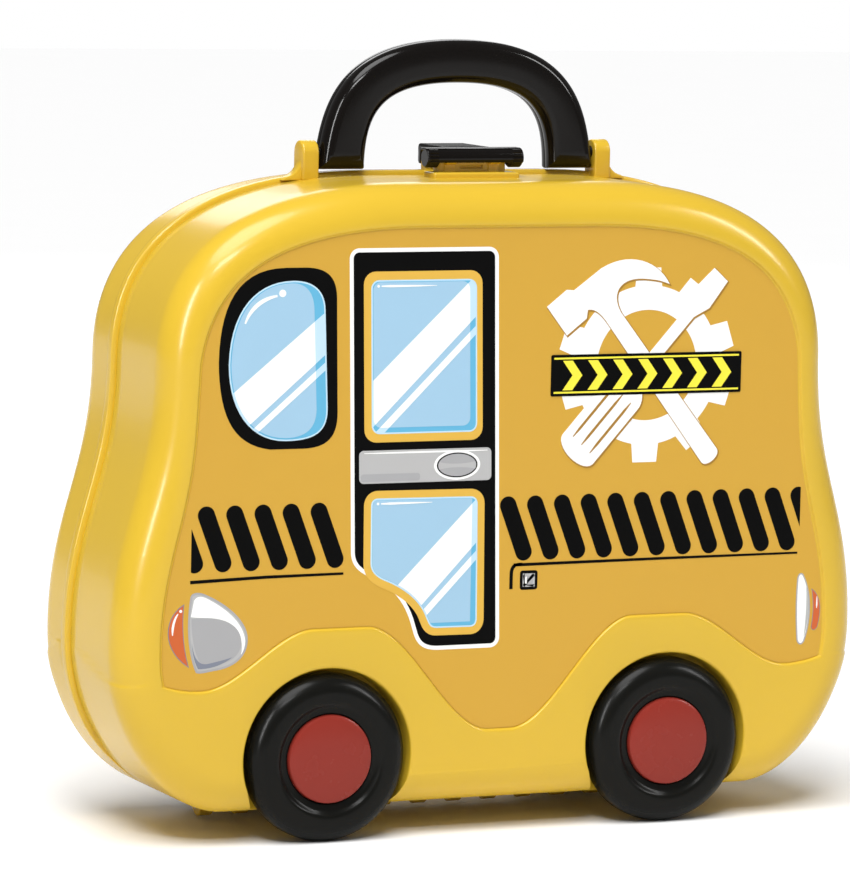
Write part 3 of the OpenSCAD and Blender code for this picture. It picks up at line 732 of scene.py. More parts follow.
def drawn_in(pts, by):
    """The outline drawn in by the given amount, or out by a negative one."""
    if area(pts) < 0:
        pts = pts[::-1]
    out = []
    for i, p in enumerate(pts):
        a, b, c = Vector(pts[i - 1]), Vector(p), Vector(pts[(i + 1) % len(pts)])
        e, f = (b - a).normalized(), (c - b).normalized()
        u, v = Vector((-e.y, e.x)), Vector((-f.y, f.x))
        m = (u + v).normalized()
        out.append(tuple(b + m * by / max(0.4, m.dot(u))))
    return out


def left_of(pts, a, b):
    """The part of an outline on the left of the line from a to b."""
    a, d = Vector(a), Vector(b) - Vector(a)
    gap = [d.x * (p[1] - a.y) - d.y * (p[0] - a.x) for p in pts]
    out = []
    for i, p in enumerate(pts):
        j = (i + 1) % len(pts)
        if gap[i] >= 0:
            out.append(p)
        if gap[i] * gap[j] < 0:
            t = gap[i] / (gap[i] - gap[j])
            out.append(tuple(Vector(p).lerp(Vector(pts[j]), t)))
    return out


def band(pts, upper, lower):
    """The strip of an outline between two lines, each from lower left to upper right."""
    return left_of(left_of(pts, upper[1], upper[0]), lower[0], lower[1])


def rounded(x0, z0, x1, z1, r, lean=0.0, about=100):
    pts = []
    for cx, cz, a0 in ((x1 - r, z1 - r, 0), (x0 + r, z1 - r, 90), (x0 + r, z0 + r, 180), (x1 - r, z0 + r, 270)):
        pts += arc(r, range(a0, a0 + 91, 15), cx, cz)
    return [(x - math.tan(math.radians(lean)) * (z - about), z) for x, z in pts]


def oval(x, z, rx, rz, steps=40):
    return [(x + rx * math.cos(2 * math.pi * k / steps), z + rz * math.sin(2 * math.pi * k / steps))
            for k in range(steps)]


def stroke(pts, widths):
    """A thin tapering line along the points, as wide at each as widths says."""
    left, right = [], []
    for i, p in enumerate(pts):
        d = (Vector(pts[min(i + 1, len(pts) - 1)]) - Vector(pts[max(i - 1, 0)])).normalized()
        n = Vector((-d.y, d.x)) * widths[i] / 2
        left.append(tuple(Vector(p) + n))
        right.append(tuple(Vector(p) - n))
    return left + right[::-1]


class Print:
    """Collects flat layers of ink, each a little proud of the one below."""

    def __init__(self):
        self.parts = []

    def lay(self, level, ink, *shapes, gloss=0.36):
        for pts in shapes:
            if len(pts) > 2 and abs(area(pts)) > 0.02:
                obj = prism("ink", pts, FILM_Y + 0.06, FILM_Y - 0.05 - 0.025 * level)
                self.parts.append(painted(obj, printed(ink, gloss)))

    def take(self, obj):
        self.parts.append(obj)

    def done(self, name, nodes):
        return finished(join(name, self.parts), "case_front", nodes)


class BUSCASE_OT_panel(bpy.types.Operator):
    """Make the darker film on the flat of the front face, above the wavy line"""
    bl_idname = "buscase.panel"
    bl_label = "Printed film"

    def execute(self, context):
        film = prism("film", Outline().inset(2.15, 1), FILM_HI.y, FILM_Y)
        xs = [k * 1.25 for k in range(-98, 99)]
        above = [(x, wave(x) + 0.35) for x in xs] + [(xs[-1], 230), (xs[0], 230)]
        keep(film, prism("above", above, FILM_HI.y + 1, FILM_Y - 1))
        soften(film, 0.05, 1, 40)
        finished(painted(film, finish("film_yellow", shade("film"), 0.33, 0.02, 900, 0.03, drift=0.004, sheen=0.25)),
                "case_front", ["panel_label"])
        film.name = "panel_film"
        return {"FINISHED"}


def glazed(p, glass, light, bands, level):
    """A printed window: pale rim, deeper side, light body, and two white bands across."""
    p.lay(level, "glass_rim", glass)
    p.lay(level + 1, "glass_shade", drawn_in(glass, 0.5))
    p.lay(level + 2, "glass", light)
    for upper, lower in bands:
        p.lay(level + 3, "glass_rim", band(drawn_in(glass, 0.25), upper, lower))
        p.lay(level + 4, "white", band(drawn_in(light, 0.0), upper, lower))


class BUSCASE_OT_window(bpy.types.Operator):
    """Make the rounded window in front of the door"""
    bl_idname = "buscase.window"
    bl_label = "Rounded window"

    def execute(self, context):
        p = Print()

        def leant(q):
            return (q[0] - math.tan(math.radians(1.5)) * (q[1] - 150), q[1])

        frame_line = [leant(q) for q in path(
            ((-60.4, 178), (-60.4, 186), (-65, 188), (-72, 188)),
            ((-78, 188), (-95, 188), (-101, 176), (-101.6, 158)),
            ((-101.6, 155), (-101, 139), (-96, 131), (-84, 129.4)),
            ((-72, 129.4), (-64, 129.6), (-60.4, 133), (-60.4, 141)))]
        p.lay(0, "ink", frame_line)
        glass = path(((-65.1, 174), (-65.3, 181), (-70, 183.8), (-76.5, 183.8)),
                ((-76.5, 183.8), (-89, 183.8), (-98.2, 175), (-98.4, 157)),
                     ((-98.4, 157), (-98.2, 143), (-91, 132), (-78, 132)),
                     ((-78, 132), (-68, 132), (-63.6, 134.5), (-63.7, 142)))
        light = path(((-69.0, 174), (-69.2, 180), (-72, 183), (-77, 183)),
                ((-77, 183), (-88.4, 183), (-97.3, 174.5), (-97.5, 157)),
                     ((-97.5, 157), (-97.3, 143.4), (-90.6, 133), (-78, 133)),
                     ((-78, 133), (-71, 133), (-67.6, 136), (-67.6, 142)))
        bands = [(((-97.5, 147.2), (-65.2, 173.4)), ((-91, 137.4), (-64.5, 160.0))),
                (((-89.7, 136.1), (-64.4, 157.6)), ((-88, 135), (-64.2, 155.1)))]
        glazed(p, glass, light, bands, 1)
        glint = [bezier((-93.0, 170.2), (-91.3, 175.2), (-87.2, 178.2), (-82.0, 179.0), k / 12) for k in range(13)]
        p.lay(6, "white", stroke(glint, [0.25 + 1.1 * math.sin(math.pi * (0.08 + 0.8 * k / 12)) for k in range(13)]),
                oval(-80.2, 179.8, 1.2, 1.2, 24))
        p.done("window_art", ["window_print"])
        return {"FINISHED"}


class BUSCASE_OT_door(bpy.types.Operator):
    """Make the printed door with its two windows and handle bar"""
    bl_idname = "buscase.door"
    bl_label = "Printed door"

    def execute(self, context):
        p = Print()
        left, right, low, top, r = -54.6, -1.6, 61.7, 194, 3.4
        line = arc(r, range(90, -1, -10), right - r, top - r) + arc(r, range(0, -91, -10), right - r, low + r)
        line += path(((-24, 61.7), (-29.4, 61.8), (-31.2, 64), (-32.3, 67.0)),
                ((-33.2, 70), (-36, 80.0), (-42, 84.2), (-48.4, 87)),
                     ((-49.4, 87.4), (-52.6, 89), (-54.6, 91.4), (-54.6, 95)))
        line += arc(r, range(180, 89, -10), left + r, top - r)
        lean = math.tan(math.radians(1.5))
        line = [(x - lean * (z - 100), z) for x, z in line]
        p.lay(0, "white", line)
        p.lay(1, "ink", drawn_in(line, 1.35))
        p.lay(2, "ochre", rounded(-49.7, 130.7, -7.5, 186.4, 4.2, 1.5))
        glass = rounded(-47.1, 133.4, -9.5, 183.6, 2.8, 1.5)
        light = rounded(-46.4, 135.5, -12.0, 182.9, 2.6, 1.5)
        bands = [(((-48.5, 150.3), (-13.7, 183.2)), ((-47.3, 136.1), (-11.3, 171.7))),
                (((-45.9, 134.8), (-11.2, 168.7)), ((-43.7, 133.7), (-11.1, 165.9)))]
        glazed(p, glass, light, bands, 3)
        low_glass = path(((-45.2, 112.4), (-12.4, 112.1)),
                ((-12.4, 112.1), (-10.6, 112.1), (-9.6, 111.1), (-9.6, 109.4)), ((-9.6, 109.4), (-9.0, 71.6)),
                         ((-9.0, 71.6), (-9.0, 69.8), (-9.8, 68.9), (-11.6, 68.9)), ((-11.6, 68.9), (-23.4, 69.0)),
                         ((-23.4, 69.0), (-25.8, 69.1), (-26.2, 70.2), (-27.2, 72.4)),
                         ((-27.2, 72.4), (-29.6, 78.6), (-36, 82.8), (-42.4, 85.3)),
                         ((-42.4, 85.3), (-45.6, 86.7), (-47.5, 88.4), (-47.5, 91.5)),
                         ((-47.5, 91.5), (-47.7, 109.8)),
                         ((-47.7, 109.8), (-47.7, 111.6), (-46.8, 112.4), (-45.2, 112.4)))
        p.lay(2, "ochre", drawn_in(low_glass, -2.5))
        low_light = left_of(drawn_in(low_glass, 0.6), (-11.2, 0), (-11.9, 200))
        low_light = left_of(low_light, (-60, 70.7), (60, 70.7))
        low_bands = [(((-37.2, 84.1), (-10.9, 110.4)), ((-29.4, 76.4), (-8.4, 98.3))),
                (((-28.5, 75.1), (-8.1, 95.8)), ((-27.5, 73.0), (-8.0, 92.9)))]
        glazed(p, low_glass, low_light, low_bands, 3)
        for x0, x1, z in ((-45.6, -26, 181.6), (-44.2, -26, 110.6)):
            p.lay(8, "white", stroke([(x0 + (x1 - x0) * k / 6, z) for k in range(7)],
                    [0.4, 0.75, 0.7, 0.6, 0.5, 0.35, 0.15]), oval(x0 - 1.1, z, 0.45, 0.45, 16))
        p.lay(2, "silver", rounded(-51.6, 117.3, -4.4, 128.1, 1.6, 1.5))
        p.lay(3, "grey", rounded(-51.0, 117.9, -30, 120.4, 0.9, 1.5))
        p.lay(3, "white", stroke([(-50.5 + 44 * k / 8, 127.2) for k in range(9)],
                [0.2, 0.4, 0.5, 0.6, 0.6, 0.6, 0.5, 0.4, 0.2]))
        cx, cz = -17.3, 122.6
        p.lay(4, "white", oval(cx, cz, 8.3, 4.9))
        p.lay(5, "ink", oval(cx, cz, 7.3, 4.1))
        p.lay(6, "grey", oval(cx, cz, 6.8, 3.7))
        p.lay(7, "silver", path(((cx - 6.4, cz + 1.1), (cx - 3, cz + 0.2), (cx + 3, cz + 0.2), (cx + 6.4, cz + 1.1)),
                ((cx + 6.4, cz + 1.1), (cx + 6.9, cz + 0.3), (cx + 6.9, cz - 0.6), (cx + 6.4, cz - 1.4)),
                                ((cx + 6.4, cz - 1.4), (cx + 3, cz - 0.5), (cx - 3, cz - 0.5), (cx - 6.4, cz - 1.4)),
                                ((cx - 6.4, cz - 1.4), (cx - 6.9, cz - 0.6), (cx - 6.9, cz + 0.3),
                                (cx - 6.4, cz + 1.1))))
        p.done("door_art", ["door_print"])
        return {"FINISHED"}


def clipped(obj, x, keep_above):
    """Cuts a mesh off square at one place along X and closes it."""
    bm = bmesh.new()
    bm.from_mesh(obj.data)
    got = bmesh.ops.bisect_plane(bm, geom=bm.verts[:] + bm.edges[:] + bm.faces[:], plane_co=(x / 1000, 0, 0),
                                 plane_no=(-1 if keep_above else 1, 0, 0), clear_outer=True)
    edges = [e for e in got["geom_cut"] if isinstance(e, bmesh.types.BMEdge)]
    bmesh.ops.holes_fill(bm, edges=edges)
    bmesh.ops.recalc_face_normals(bm, faces=bm.faces)
    bm.to_mesh(obj.data)
    bm.free()
    return obj


class BUSCASE_OT_vents(bpy.types.Operator):
    """Make the slanted printed vent slots, the lines under them and the filler flap"""
    bl_idname = "buscase.vents"
    bl_label = "Vent slots"

    def execute(self, context):
        wide, tall, pitch = 5.9, 22.6, size("slot_pitch")
        a = math.radians(21)
        for side, count, first, name in ((-1, 6, -63.0, "vents_left"), (1, 12, 4.5, "vents_right")):
            slot = []
            for end, turn in ((1, range(0, 181, 12)), (-1, range(180, 361, 12))):
                slot += arc(wide / 2, turn, 0, end * (tall - wide) / 2)
            slot = [(x * math.cos(a) - z * math.sin(a), x * math.sin(a) + z * math.cos(a)) for x, z in slot]
            one = prism("slot", slot, 0.06, -0.08)
            row = repeated("row", one, count, (first, FILM_Y, 100.9), (side * pitch, 0, 0), printed("ink"))
            clipped(row, side * 110.2, side < 0)
            p = Print()
            p.take(row)
            if side < 0:
                p.lay(1, "ink", stroke([(-110.4, 87.2), (-84, 88), (-57, 88.2)], [1.1, 1.0, 0.8]))
            else:
                p.lay(1, "ink", stroke([(4, 88.8), (60, 89.1), (109.6, 89.2)], [1.0, 0.9, 0.7]))
                p.lay(1, "ink", stroke([bezier((7.2, 89.0), (4.2, 89.2), (3.2, 88.2), (3.2, 85.6), k / 8)
                        for k in range(9)] + [(3.2, 80.8)], [0.9] * 4 + [1.2] * 6))
            p.done(name + "_art", [name + "_print"])
        lo, hi = box_mm("filler_flap_print")
        p = Print()
        flap = rounded(lo.x, lo.z, hi.x, hi.z, 0.9)
        p.lay(0, "ink", flap)
        p.lay(1, "silver", drawn_in(flap, 1.0))
        p.lay(2, "grey", drawn_in(flap, 1.7))
        p.lay(3, "white", rounded(lo.x + 1.9, lo.z + 2.0, lo.x + 2.5, hi.z - 2.0, 0.2))
        p.done("filler_flap_art", ["filler_flap_print"])
        return {"FINISHED"}


class BUSCASE_OT_lamps(bpy.types.Operator):
    """Make the printed headlight and tail light"""
    bl_idname = "buscase.lamps"
    bl_label = "Printed lamps"

    def execute(self, context):
        p = Print()
        lens = path(((-110.2, 82.4), (-109.8, 84), (-107.6, 84.1), (-105.5, 83.3)),
                ((-105.5, 83.3), (-98.5, 80.4), (-90, 74.4), (-90.1, 67.7)),
                    ((-90.1, 67.7), (-90.2, 62), (-95, 58.8), (-101.5, 58.2)),
                    ((-101.5, 58.2), (-104, 57.9), (-106.5, 57.2), (-107.9, 57.8)),
                    ((-107.9, 57.8), (-110.9, 64), (-111.6, 74), (-110.2, 82.4)))
        p.lay(0, "grey", lens)
        p.lay(1, "silver", drawn_in(lens, 0.7))
        p.lay(2, "white", path(((-109.0, 81.2), (-107.8, 83.4), (-105.4, 82.4), (-103.4, 81.2)),
                ((-103.4, 81.2), (-97, 77.8), (-91.6, 73), (-91.0, 67.6)),
                               ((-91.0, 67.6), (-91.0, 65.6), (-91.6, 64), (-92.4, 63.0)),
                               ((-92.4, 63.0), (-91.2, 68.6), (-94, 72.2), (-98.6, 74.2)),
                               ((-98.6, 74.2), (-102.6, 75.8), (-106.6, 75.4), (-110.0, 76.0))))
        p.lay(3, "grey", path(((-109.8, 75.4), (-105, 75.8), (-101, 75.4), (-98, 74.2)),
                ((-98, 74.2), (-94, 72.6), (-92.0, 69.6), (-92.4, 66)),
                              ((-92.4, 66), (-93.2, 62.6), (-96, 60.8), (-100, 60.4)),
                              ((-100, 60.4), (-103, 60.0), (-105.4, 60.2), (-106.6, 61.2)),
                              ((-106.6, 61.2), (-108.8, 64.6), (-109.6, 70), (-109.8, 75.4))))
        p.lay(4, "slate", path(((-109.5, 67.4), (-108.6, 61.4), (-106.4, 60.2), (-103.6, 60.6)),
                ((-103.6, 60.6), (-100.6, 61.2), (-98, 61.6), (-95.4, 62.4)),
                               ((-95.4, 62.4), (-98.6, 60.0), (-103, 58.8), (-107.2, 59.0)),
                               ((-107.2, 59.0), (-108.6, 61.6), (-109.2, 64), (-109.5, 67.4))))
        p.lay(5, "white", oval(-107.4, 80.6, 0.9, 1.3, 20))
        side = path(((-112.6, 79.8), (-119.2, 76), (-119.8, 66), (-110.7, 60.0)),
                ((-110.7, 60.0), (-112.6, 66), (-113.2, 73), (-112.6, 79.8)))
        p.lay(0, "slate", drawn_in(side, -0.25))
        p.lay(1, "orange", side)
        glint = [bezier((-116.2, 70.2), (-116.4, 73.6), (-115.4, 76), (-114.4, 77.2), k / 8) for k in range(9)]
        p.lay(2, "white", stroke(glint, [0.3, 0.6, 0.8, 0.8, 0.8, 0.7, 0.6, 0.5, 0.3]),
                oval(-113.5, 78.0, 0.5, 0.5, 16))
        p.done("headlight_art", ["headlight_print"])
        p = Print()
        tail = path(((109.9, 80.6), (110.4, 82.6), (111.8, 82.6), (112.4, 81.4)),
                ((112.4, 81.4), (115.6, 76), (116, 66), (113.2, 58.8)),
                    ((113.2, 58.8), (112, 56.8), (110.3, 58), (110.2, 60)),
                    ((110.2, 60), (109.6, 67), (109.4, 74), (109.9, 80.6)))
        p.lay(0, "grey", tail)
        p.lay(1, "white", drawn_in(tail, 0.5))
        p.lay(2, "silver", path(((113.4, 77.6), (115, 73), (115, 66), (112.9, 60.0)),
                ((112.9, 60.0), (113.6, 66), (113.8, 72), (113.4, 77.6))))
        amber = path(((115.7, 76.4), (118.6, 74.4), (119.6, 70), (117.9, 63.6)),
                ((117.9, 63.6), (117, 62.4), (116.2, 62.4), (115.8, 63.6)),
                     ((115.8, 63.6), (116.6, 68), (116.6, 72), (115.7, 76.4)))
        p.lay(0, "slate", drawn_in(amber, -0.2))
        p.lay(1, "orange", amber)
        p.lay(2, "white", stroke([(117.6, 70 + k) for k in range(5)], [0.2, 0.5, 0.5, 0.4, 0.2]))
        p.done("tail_light_art", ["tail_light_print"])
        return {"FINISHED"}


class BUSCASE_OT_emblem(bpy.types.Operator):
    """Make the gear with a crossed hammer and screwdriver, and its band of chevrons"""
    bl_idname = "buscase.emblem"
    bl_label = "Workshop emblem"

    def execute(self, context):
        lo, hi = box_mm("emblem_print")
        cx, cz = 51.0, 154.0
        white = printed("white")
        p = Print()
        ring = turned("ring", [(18.4, 0.06), (26.6, 0.06), (26.6, -0.055), (18.4, -0.055)], round_y(cx, cz, FILM_Y),
                96)
        p.take(painted(ring, white))
        tooth = prism("tooth", [(-5.0, 25.6), (5.0, 25.6), (4.4, 32.4), (-4.4, 32.4)], 0.06, -0.05)
        p.take(repeated("teeth", tooth, 10, (cx, FILM_Y, cz), (0, 0, 0), white, (0, 36, 0)))

        def tilted(pts, degrees, dx=0.0, dz=0.0):
            a = math.radians(degrees)
            return [(cx + dx + x * math.cos(a) - z * math.sin(a), cz + dz + x * math.sin(a) + z * math.cos(a)) for x,
                    z in pts]

        hammer = path(((-3.0, 20), (-3.6, -39)), ((-3.6, -39), (-3.6, -42), (3.6, -42), (3.6, -39)),
                ((3.6, -39), (3.0, 20)),
                      ((3.0, 20), (3.6, 27), (9, 30), (16, 24)), ((16, 24), (20, 20.4), (21, 19), (22.6, 16.4)),
                      ((22.6, 16.4), (24, 25), (18, 34.6), (6, 36.4)),
                      ((6, 36.4), (-6, 36.8)), ((-6, 36.8), (-8, 38.6)), ((-8, 38.6), (-17, 38.6)),
                      ((-17, 38.6), (-17, 26.4)), ((-17, 26.4), (-8, 26.4)),
                      ((-8, 26.4), (-6, 28.4)), ((-6, 28.4), (-3.4, 27), (-3.0, 24), (-3.0, 20)))
        driver = path(((-2.1, -6), (-2.1, 23)), ((-2.1, 23), (-4.4, 29)), ((-4.4, 29), (-3.4, 40)),
                ((-3.4, 40), (3.4, 40)), ((3.4, 40), (4.4, 29)),
                      ((4.4, 29), (2.1, 23)), ((2.1, 23), (2.1, -6)), ((2.1, -6), (4, -7), (7.6, -9), (7.6, -13)),
                      ((7.6, -13), (7.6, -37)),
                      ((7.6, -37), (6.6, -42), (-6.6, -42), (-7.6, -37)), ((-7.6, -37), (-7.6, -13)),
                      ((-7.6, -13), (-7.6, -9), (-4, -7), (-2.1, -6)))
        for shape, turn, level in ((hammer, 38, 2), (driver, -42, 4)):
            p.lay(level, "print_shade", tilted(drawn_in(shape, -0.25), turn, 0.3, -0.35))
            p.lay(level + 1, "white", tilted(shape, turn))
        for x in (-4.2, 0.0, 4.2):
            groove = stroke([(x, -13 - 22 * k / 6) for k in range(7)], [0.3, 0.9, 0.9, 0.9, 0.9, 0.9, 0.3])
            p.lay(6, "print_shade", tilted(groove, -42))
        band_lo, band_hi, z0, z1 = lo.x, hi.x, 144.3, 158.0
        p.lay(7, "ink", rounded(band_lo, z0, band_hi, z1, 0.6))
        step, mid = 9.2, (z0 + z1) / 2
        chevron = [(0, 4.9), (3.6, 4.9), (7.2, 0), (3.6, -4.9), (0, -4.9), (3.6, 0)]
        one = prism("chevron", chevron, 0.06, -0.05 - 0.025 * 8)
        p.take(repeated("chevrons", one, 7, (band_lo + 4.2, FILM_Y, mid), (step, 0, 0), printed("chevron")))
        p.lay(8, "chevron", rounded(band_lo + 1.0, z1 - 1.5, band_hi - 1.0, z1 - 0.9, 0.2),
                rounded(band_lo + 1.0, z0 + 0.9, band_hi - 1.0, z0 + 1.5, 0.2))
        p.done("emblem_art", ["emblem_print"])
        return {"FINISHED"}


# ---- handle, latch and wheels ----

def screw_head(name, r, height, way):
    """A pan head with a cross recess, its face towards way along Y."""
    edge = 0.45 * height
    dome = [(0, 0), (r, 0), (r, edge)] + [(r * c, edge + (height - edge) * s) for c, s in arc(1, (20, 40, 60, 75))]
    head = turned(name, dome + [(0, height)], round_y(0, 0, 0, way), 40)
    for a in (0, 90):
        bar = block("bar", (-r * 0.62, way * height * 0.55, -r * 0.13), (r * 0.62, way * height * 1.75, r * 0.13))
        cut(head, spun(bar, a, "Y"))
    return head


class BUSCASE_OT_handle(bpy.types.Operator):
    """Make the two halves of the arched handle, its pivots and its screws"""
    bl_idname = "buscase.handle"
    bl_label = "Carry handle"

    def execute(self, context):
        lo, hi = box_mm("handle_front_half")
        y, half = JOINT["handle"][1], JOINT["handle"][1] - lo.y
        pz, top, thick, foot = JOINT["handle"][2], hi.z, 14.4, hi.x
        r, start = size("grip_round"), lo.z - 0.1
        screws = ((-26, 246), (0, top - thick / 2), (26, 246))

        def rim(t, outer):
            u = 2 * min(t, 1 - t)
            q = ((-foot, start), (-48, 238), (-42, top), (0, top)) if outer else ((-33.7, start), (-33.5, 234),
                    (-29.5, top - thick), (0, top - thick))
            x, z = bezier(*q, u)
            return Vector((x if t <= 0.5 else -x, z))

        for side, name in ((-1, "handle_front_half"), (1, "handle_rear_half")):
            verts, steps, n = [], 96, 0
            for k in range(steps + 1):
                a, b = rim(k / steps, True), rim(k / steps, False)
                u, w = (b - a).normalized(), (b - a).length
                sec = [(0.32, 0), (0.08, 0.12), (0, 0.35)]
                sec += [(r - c, half - r + d) for c, d in arc(r, range(0, 91, 10))]
                sec += [(w - s, d) for s, d in reversed(sec)]
                n = len(sec)
                for s, d in sec:
                    p = a + u * s
                    verts.append((p.x, y + side * d, p.y))
            faces = [list(range(n)), [steps * n + i for i in range(n)]]
            faces += [[k * n + i, k * n + (i + 1) % n, (k + 1) * n + (i + 1) % n, (k + 1) * n + i]
                    for k in range(steps) for i in range(n)]
            obj = new_object(name + "_body", verts, faces)
            feet = rod("feet", round_x(y, pz), -60, 60, half, 0, 96)
            add(feet, block("over", (-60, y - half - 1, pz), (60, y + half + 1, pz + 60)))
            keep(obj, feet)
            if side > 0:
                for x, z in screws:
                    cut(obj, turned("sink", [(0, 2.4), (2.4, 2.4), (2.4, half - 0.3), (2.8, half + 0.02),
                            (2.8, half + 1), (0, half + 1)], round_y(x, z, y), 40))
            finished(painted(obj, gloss_black()), "handle", [name], 34)
        heads = []
        for x, z in screws:
            head = screw_head("head", 2.15, 1.5, 1)
            heads.append(repeated("one", head, 1, (x, y + 2.41, z), (0, 0, 0), plated_steel()))
        finished(join("handle_screw_heads", heads), "handle", ["handle_screws"])
        painted(frame["nodes"]["handle_pivots"], gloss_black())
        return {"FINISHED"}


class BUSCASE_OT_latch(bpy.types.Operator):
    """Make the snap latch with its ribbed ends and hook"""
    bl_idname = "buscase.latch"
    bl_label = "Snap latch"

    def execute(self, context):
        lo, hi = box_mm("latch_clasp")
        x, y, z = JOINT["latch"]
        half, top = hi.x, hi.z
        outer, inner, under, back, cheek_in, cheek = top - z, 2.5, 1.7, 3.4, 12.8, 3.2
        cover = arc(outer, range(207, 89, -9), y, z) + [(y + back, top), (y + back, z + under),
                (y + back - 0.8, z + inner)] + arc(inner, range(90, 208, 9), y, z)
        obj = soften(prism("latch_body", cover, -half, half, "X"), 0.3, 3, 40)
        hook_y = hi.y
        hook = [(y + back - 0.6, z + under), (y + back - 0.6, top), (hook_y - 1.6, top)]
        hook += arc(1.6, range(75, -1, -15), hook_y - 1.6, top - 1.6)
        hook += [(hook_y, z - 2.6), (hook_y - 0.8, z - 3.4), (hook_y - 2.0, z - 3.4), (hook_y - 2.0, z + under)]
        add(obj, soften(prism("hook", hook, -8, 8, "X"), 0.3, 2, 40))
        for s in (-1, 1):
            a, b = sorted((s * cheek_in, s * half))
            add(obj, rod("cheek", round_x(y, z), a, b, cheek, 0.5, 64))
            ridge = moved(rod("ridge", round_x(0, 0), a + 0.7, b - 0.7, 0.32, 0.1, 12), 0, 0.08 - outer)
            row = repeated("ridges", ridge, 5, (0, 0, 0), (0, 0, 0), gloss_black(), (18, 0, 0))
            add(obj, moved(spun(row, -52, "X"), 0, y, z))
        for k in range(3):
            cut(obj, rod("grip", round_x(y + 4.6 + 2.4 * k, top + 0.25), -6.4, 6.4, 0.55, 0, 20))
        finished(painted(obj, gloss_black()), "latch", ["latch_clasp"])
        painted(frame["nodes"]["latch_pin"], plated_steel())
        return {"FINISHED"}


class BUSCASE_OT_wheels(bpy.types.Operator):
    """Make the four tyres and their hub caps"""
    bl_idname = "buscase.wheels"
    bl_label = "Wheels"

    def execute(self, context):
        R, w, hub = size("tyre_radius"), size("tyre_width"), size("hub_radius")
        for name, side in WHEELS.items():
            x, _, z = JOINT["wheel_" + name]
            lo, hi = box_mm("tyre_" + name)
            spot = round_y(x, z, lo.y if side > 0 else hi.y, side)
            tyre = [(3.06, 0), (9, 0), (9, 2.2), (22, 2.2), (22, 0.6), (24.5, 0)]
            tyre += arc(3.5, range(-80, 1, 10), R - 3.5, 3.5)
            tyre += [(R - 6.2 + 6.2 * c, w - 6 + 6 * s) for c, s in arc(1, range(0, 91, 6))]
            tyre += [(19.6, w - 0.05), (18.7, w - 0.18), (18.1, w - 0.55), (17.5, w - 1.05), (16.9, w - 1.35),
                    (16.3, w - 1.5), (15.7, w - 1.55), (hub + 0.5, w - 1.7),
                     (hub + 0.12, w - 2.1), (hub, w - 2.6), (hub, 8.2), (3.06, 8.2)]
            finished(painted(turned("tyre_" + name + "_body", tyre, spot, 144), tyre_plastic()), "wheel_" + name,
                    ["tyre_" + name])
            edge = hub - 0.02
            cap = [(0, w - 1.2), (hub - 1.6, w - 1.2), (hub - 1.6, 8.2), (edge, 8.2), (edge, w - 1.45),
                    (edge - 0.08, w - 0.95), (edge - 0.3, w - 0.6)]
            cap += [(q, w + 0.7 - 1.2 * (q / hub) ** 2.4) for q in [(edge - 0.8) * (1 - k / 12) for k in range(13)]]
            finished(painted(turned("hub_" + name + "_body", cap, spot, 120), hub_plastic()), "wheel_" + name,
                    ["hub_cap_" + name])
        return {"FINISHED"}


class BUSCASE_OT_hardware(bpy.types.Operator):
    """Make the axle screws and plate the pins"""
    bl_idname = "buscase.hardware"
    bl_label = "Pins and screws"

    def execute(self, context):
        for node in ("hinge_pin", "front_axle_pins", "rear_axle_pins"):
            painted(frame["nodes"][node], plated_steel())
        wheel_x = abs(JOINT["wheel_front_left"][0])
        z = JOINT["wheel_front_left"][2]
        for node, body, way in (("front_axle_screws", "case_front", 1), ("rear_axle_screws", "case_rear", -1)):
            lo, hi = box_mm(node)
            back = (hi.y if way > 0 else lo.y) - way * 1.8
            head = screw_head("head", 4.4, 1.8, way)
            row = repeated(node + "_heads", head, 2, (-wheel_x, back, z), (2 * wheel_x, 0, 0), plated_steel())
            finished(row, body, [node])
        return {"FINISHED"}


# ---- stage ----

def softbox(name, spot, aim, wide, tall, power, gloss_only=False):
    data = bpy.data.lights.new(name, "AREA")
    data.shape = "RECTANGLE"
    data.size, data.size_y, data.energy = wide, tall, power
    obj = bpy.data.objects.new(name, data)
    obj.location = spot
    obj.visible_diffuse = not gloss_only
    obj.rotation_euler = (Vector(aim) - Vector(spot)).to_track_quat("-Z", "Y").to_euler()
    bpy.context.scene.collection.objects.link(obj)


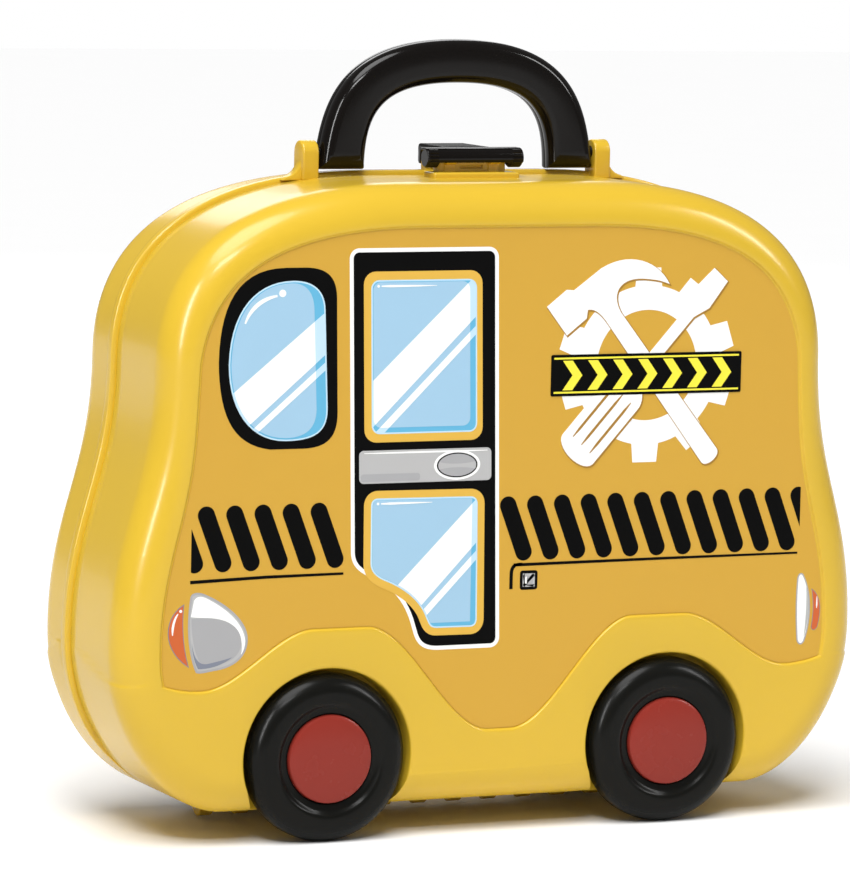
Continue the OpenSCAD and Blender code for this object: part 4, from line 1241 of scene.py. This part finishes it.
class BUSCASE_OT_stage(bpy.types.Operator):
    """Set the pale floor, the soft lights and the camera"""
    bl_idname = "buscase.stage"
    bl_label = "Studio"

    def execute(self, context):
        scene = context.scene
        bm = bmesh.new()
        bmesh.ops.create_grid(bm, x_segments=2, y_segments=2, size=6)
        mesh = bpy.data.meshes.new("floor")
        bm.to_mesh(mesh)
        bm.free()
        floor = bpy.data.objects.new("floor", mesh)
        scene.collection.objects.link(floor)
        painted(floor, finish("floor_paper", (0.92, 0.92, 0.92), 0.85, 0.03, 400, 0.01, drift=0.002, sheen=0.1))
        sun = bpy.data.lights.new("overhead", "SUN")
        sun.energy, sun.angle = 2.95, math.radians(38)
        high = bpy.data.objects.new("overhead", sun)
        high.rotation_euler = Vector((0.25, 0.27, -0.93)).to_track_quat("-Z", "Y").to_euler()
        scene.collection.objects.link(high)
        softbox("left_strip", (-1.35, -0.95, 0.75), (0, 0, 0.13), 0.2, 0.9, 17.0, True)
        softbox("right_strip", (1.25, -0.9, 0.95), (0, 0, 0.16), 0.16, 0.8, 10.0, True)
        softbox("upper_box", (-0.55, -1.15, 1.25), (0, 0, 0.2), 0.5, 0.18, 7.5)
        softbox("back_fill", (0.5, 1.7, 1.1), (0, 0, 0.1), 0.9, 0.9, 6.0)
        world = bpy.data.worlds.new("studio")
        scene.world = world
        world.use_nodes = True
        t = world.node_tree
        out = t.nodes["World Output"]
        seen = t.nodes["Background"]
        seen.inputs["Color"].default_value = (1, 1, 1, 1)
        seen.inputs["Strength"].default_value = 1.0
        lit = t.nodes.new("ShaderNodeBackground")
        lit.inputs["Color"].default_value = (1, 1, 1, 1)
        lit.inputs["Strength"].default_value = 0.22
        ray = t.nodes.new("ShaderNodeLightPath")
        mix = t.nodes.new("ShaderNodeMixShader")
        t.links.new(ray.outputs["Is Camera Ray"], mix.inputs["Fac"])
        t.links.new(lit.outputs["Background"], mix.inputs[1])
        t.links.new(seen.outputs["Background"], mix.inputs[2])
        t.links.new(mix.outputs["Shader"], out.inputs["Surface"])
        scene.view_settings.view_transform = "Standard"
        data = bpy.data.cameras.new("camera")
        data.lens = 218.56
        data.clip_start, data.clip_end = 0.05, 30
        cam = bpy.data.objects.new("camera", data)
        scene.collection.objects.link(cam)
        cam.location = (-0.7326, -1.6036, 0.3248)
        look = Vector((0.4074, 0.9064, -0.1115)).to_track_quat("-Z", "Y").to_matrix().to_4x4()
        cam.rotation_euler = (look @ Matrix.Rotation(math.radians(1.25), 4, "Z")).to_euler()
        scene.camera = cam
        return {"FINISHED"}


MAKERS = (BUSCASE_OT_front_shell, BUSCASE_OT_rear_shell, BUSCASE_OT_panel, BUSCASE_OT_window, BUSCASE_OT_door,
        BUSCASE_OT_vents,
          BUSCASE_OT_lamps, BUSCASE_OT_emblem, BUSCASE_OT_handle, BUSCASE_OT_latch, BUSCASE_OT_wheels,
                  BUSCASE_OT_hardware, BUSCASE_OT_stage)


class BUSCASE_PT_panel(bpy.types.Panel):
    """Lists the makers, sizes and colours of the case"""
    bl_idname = "BUSCASE_PT_panel"
    bl_label = "Bus carry case"
    bl_space_type = "VIEW_3D"
    bl_region_type = "UI"
    bl_category = "Bus case"

    def draw(self, context):
        for maker in MAKERS:
            self.layout.operator(maker.bl_idname, text=maker.bl_label)
        for group in (context.scene.bus_case_sizes, context.scene.bus_case_colours):
            box = self.layout.box()
            for key in group.bl_rna.properties.keys():
                if key not in ("rna_type", "name"):
                    box.prop(group, key)


CLASSES = (BusCaseSizes, BusCaseColours, *MAKERS, BUSCASE_PT_panel)


def register():
    for c in CLASSES:
        bpy.utils.register_class(c)
    bpy.types.Scene.bus_case_sizes = PointerProperty(type=BusCaseSizes)
    bpy.types.Scene.bus_case_colours = PointerProperty(type=BusCaseColours)


def unregister():
    del bpy.types.Scene.bus_case_colours
    del bpy.types.Scene.bus_case_sizes
    for c in reversed(CLASSES):
        bpy.utils.unregister_class(c)


def main():
    register()
    for maker in MAKERS:
        group, name = maker.bl_idname.split(".")
        getattr(getattr(bpy.ops, group), name)()


if __name__ == "__main__":
    main()
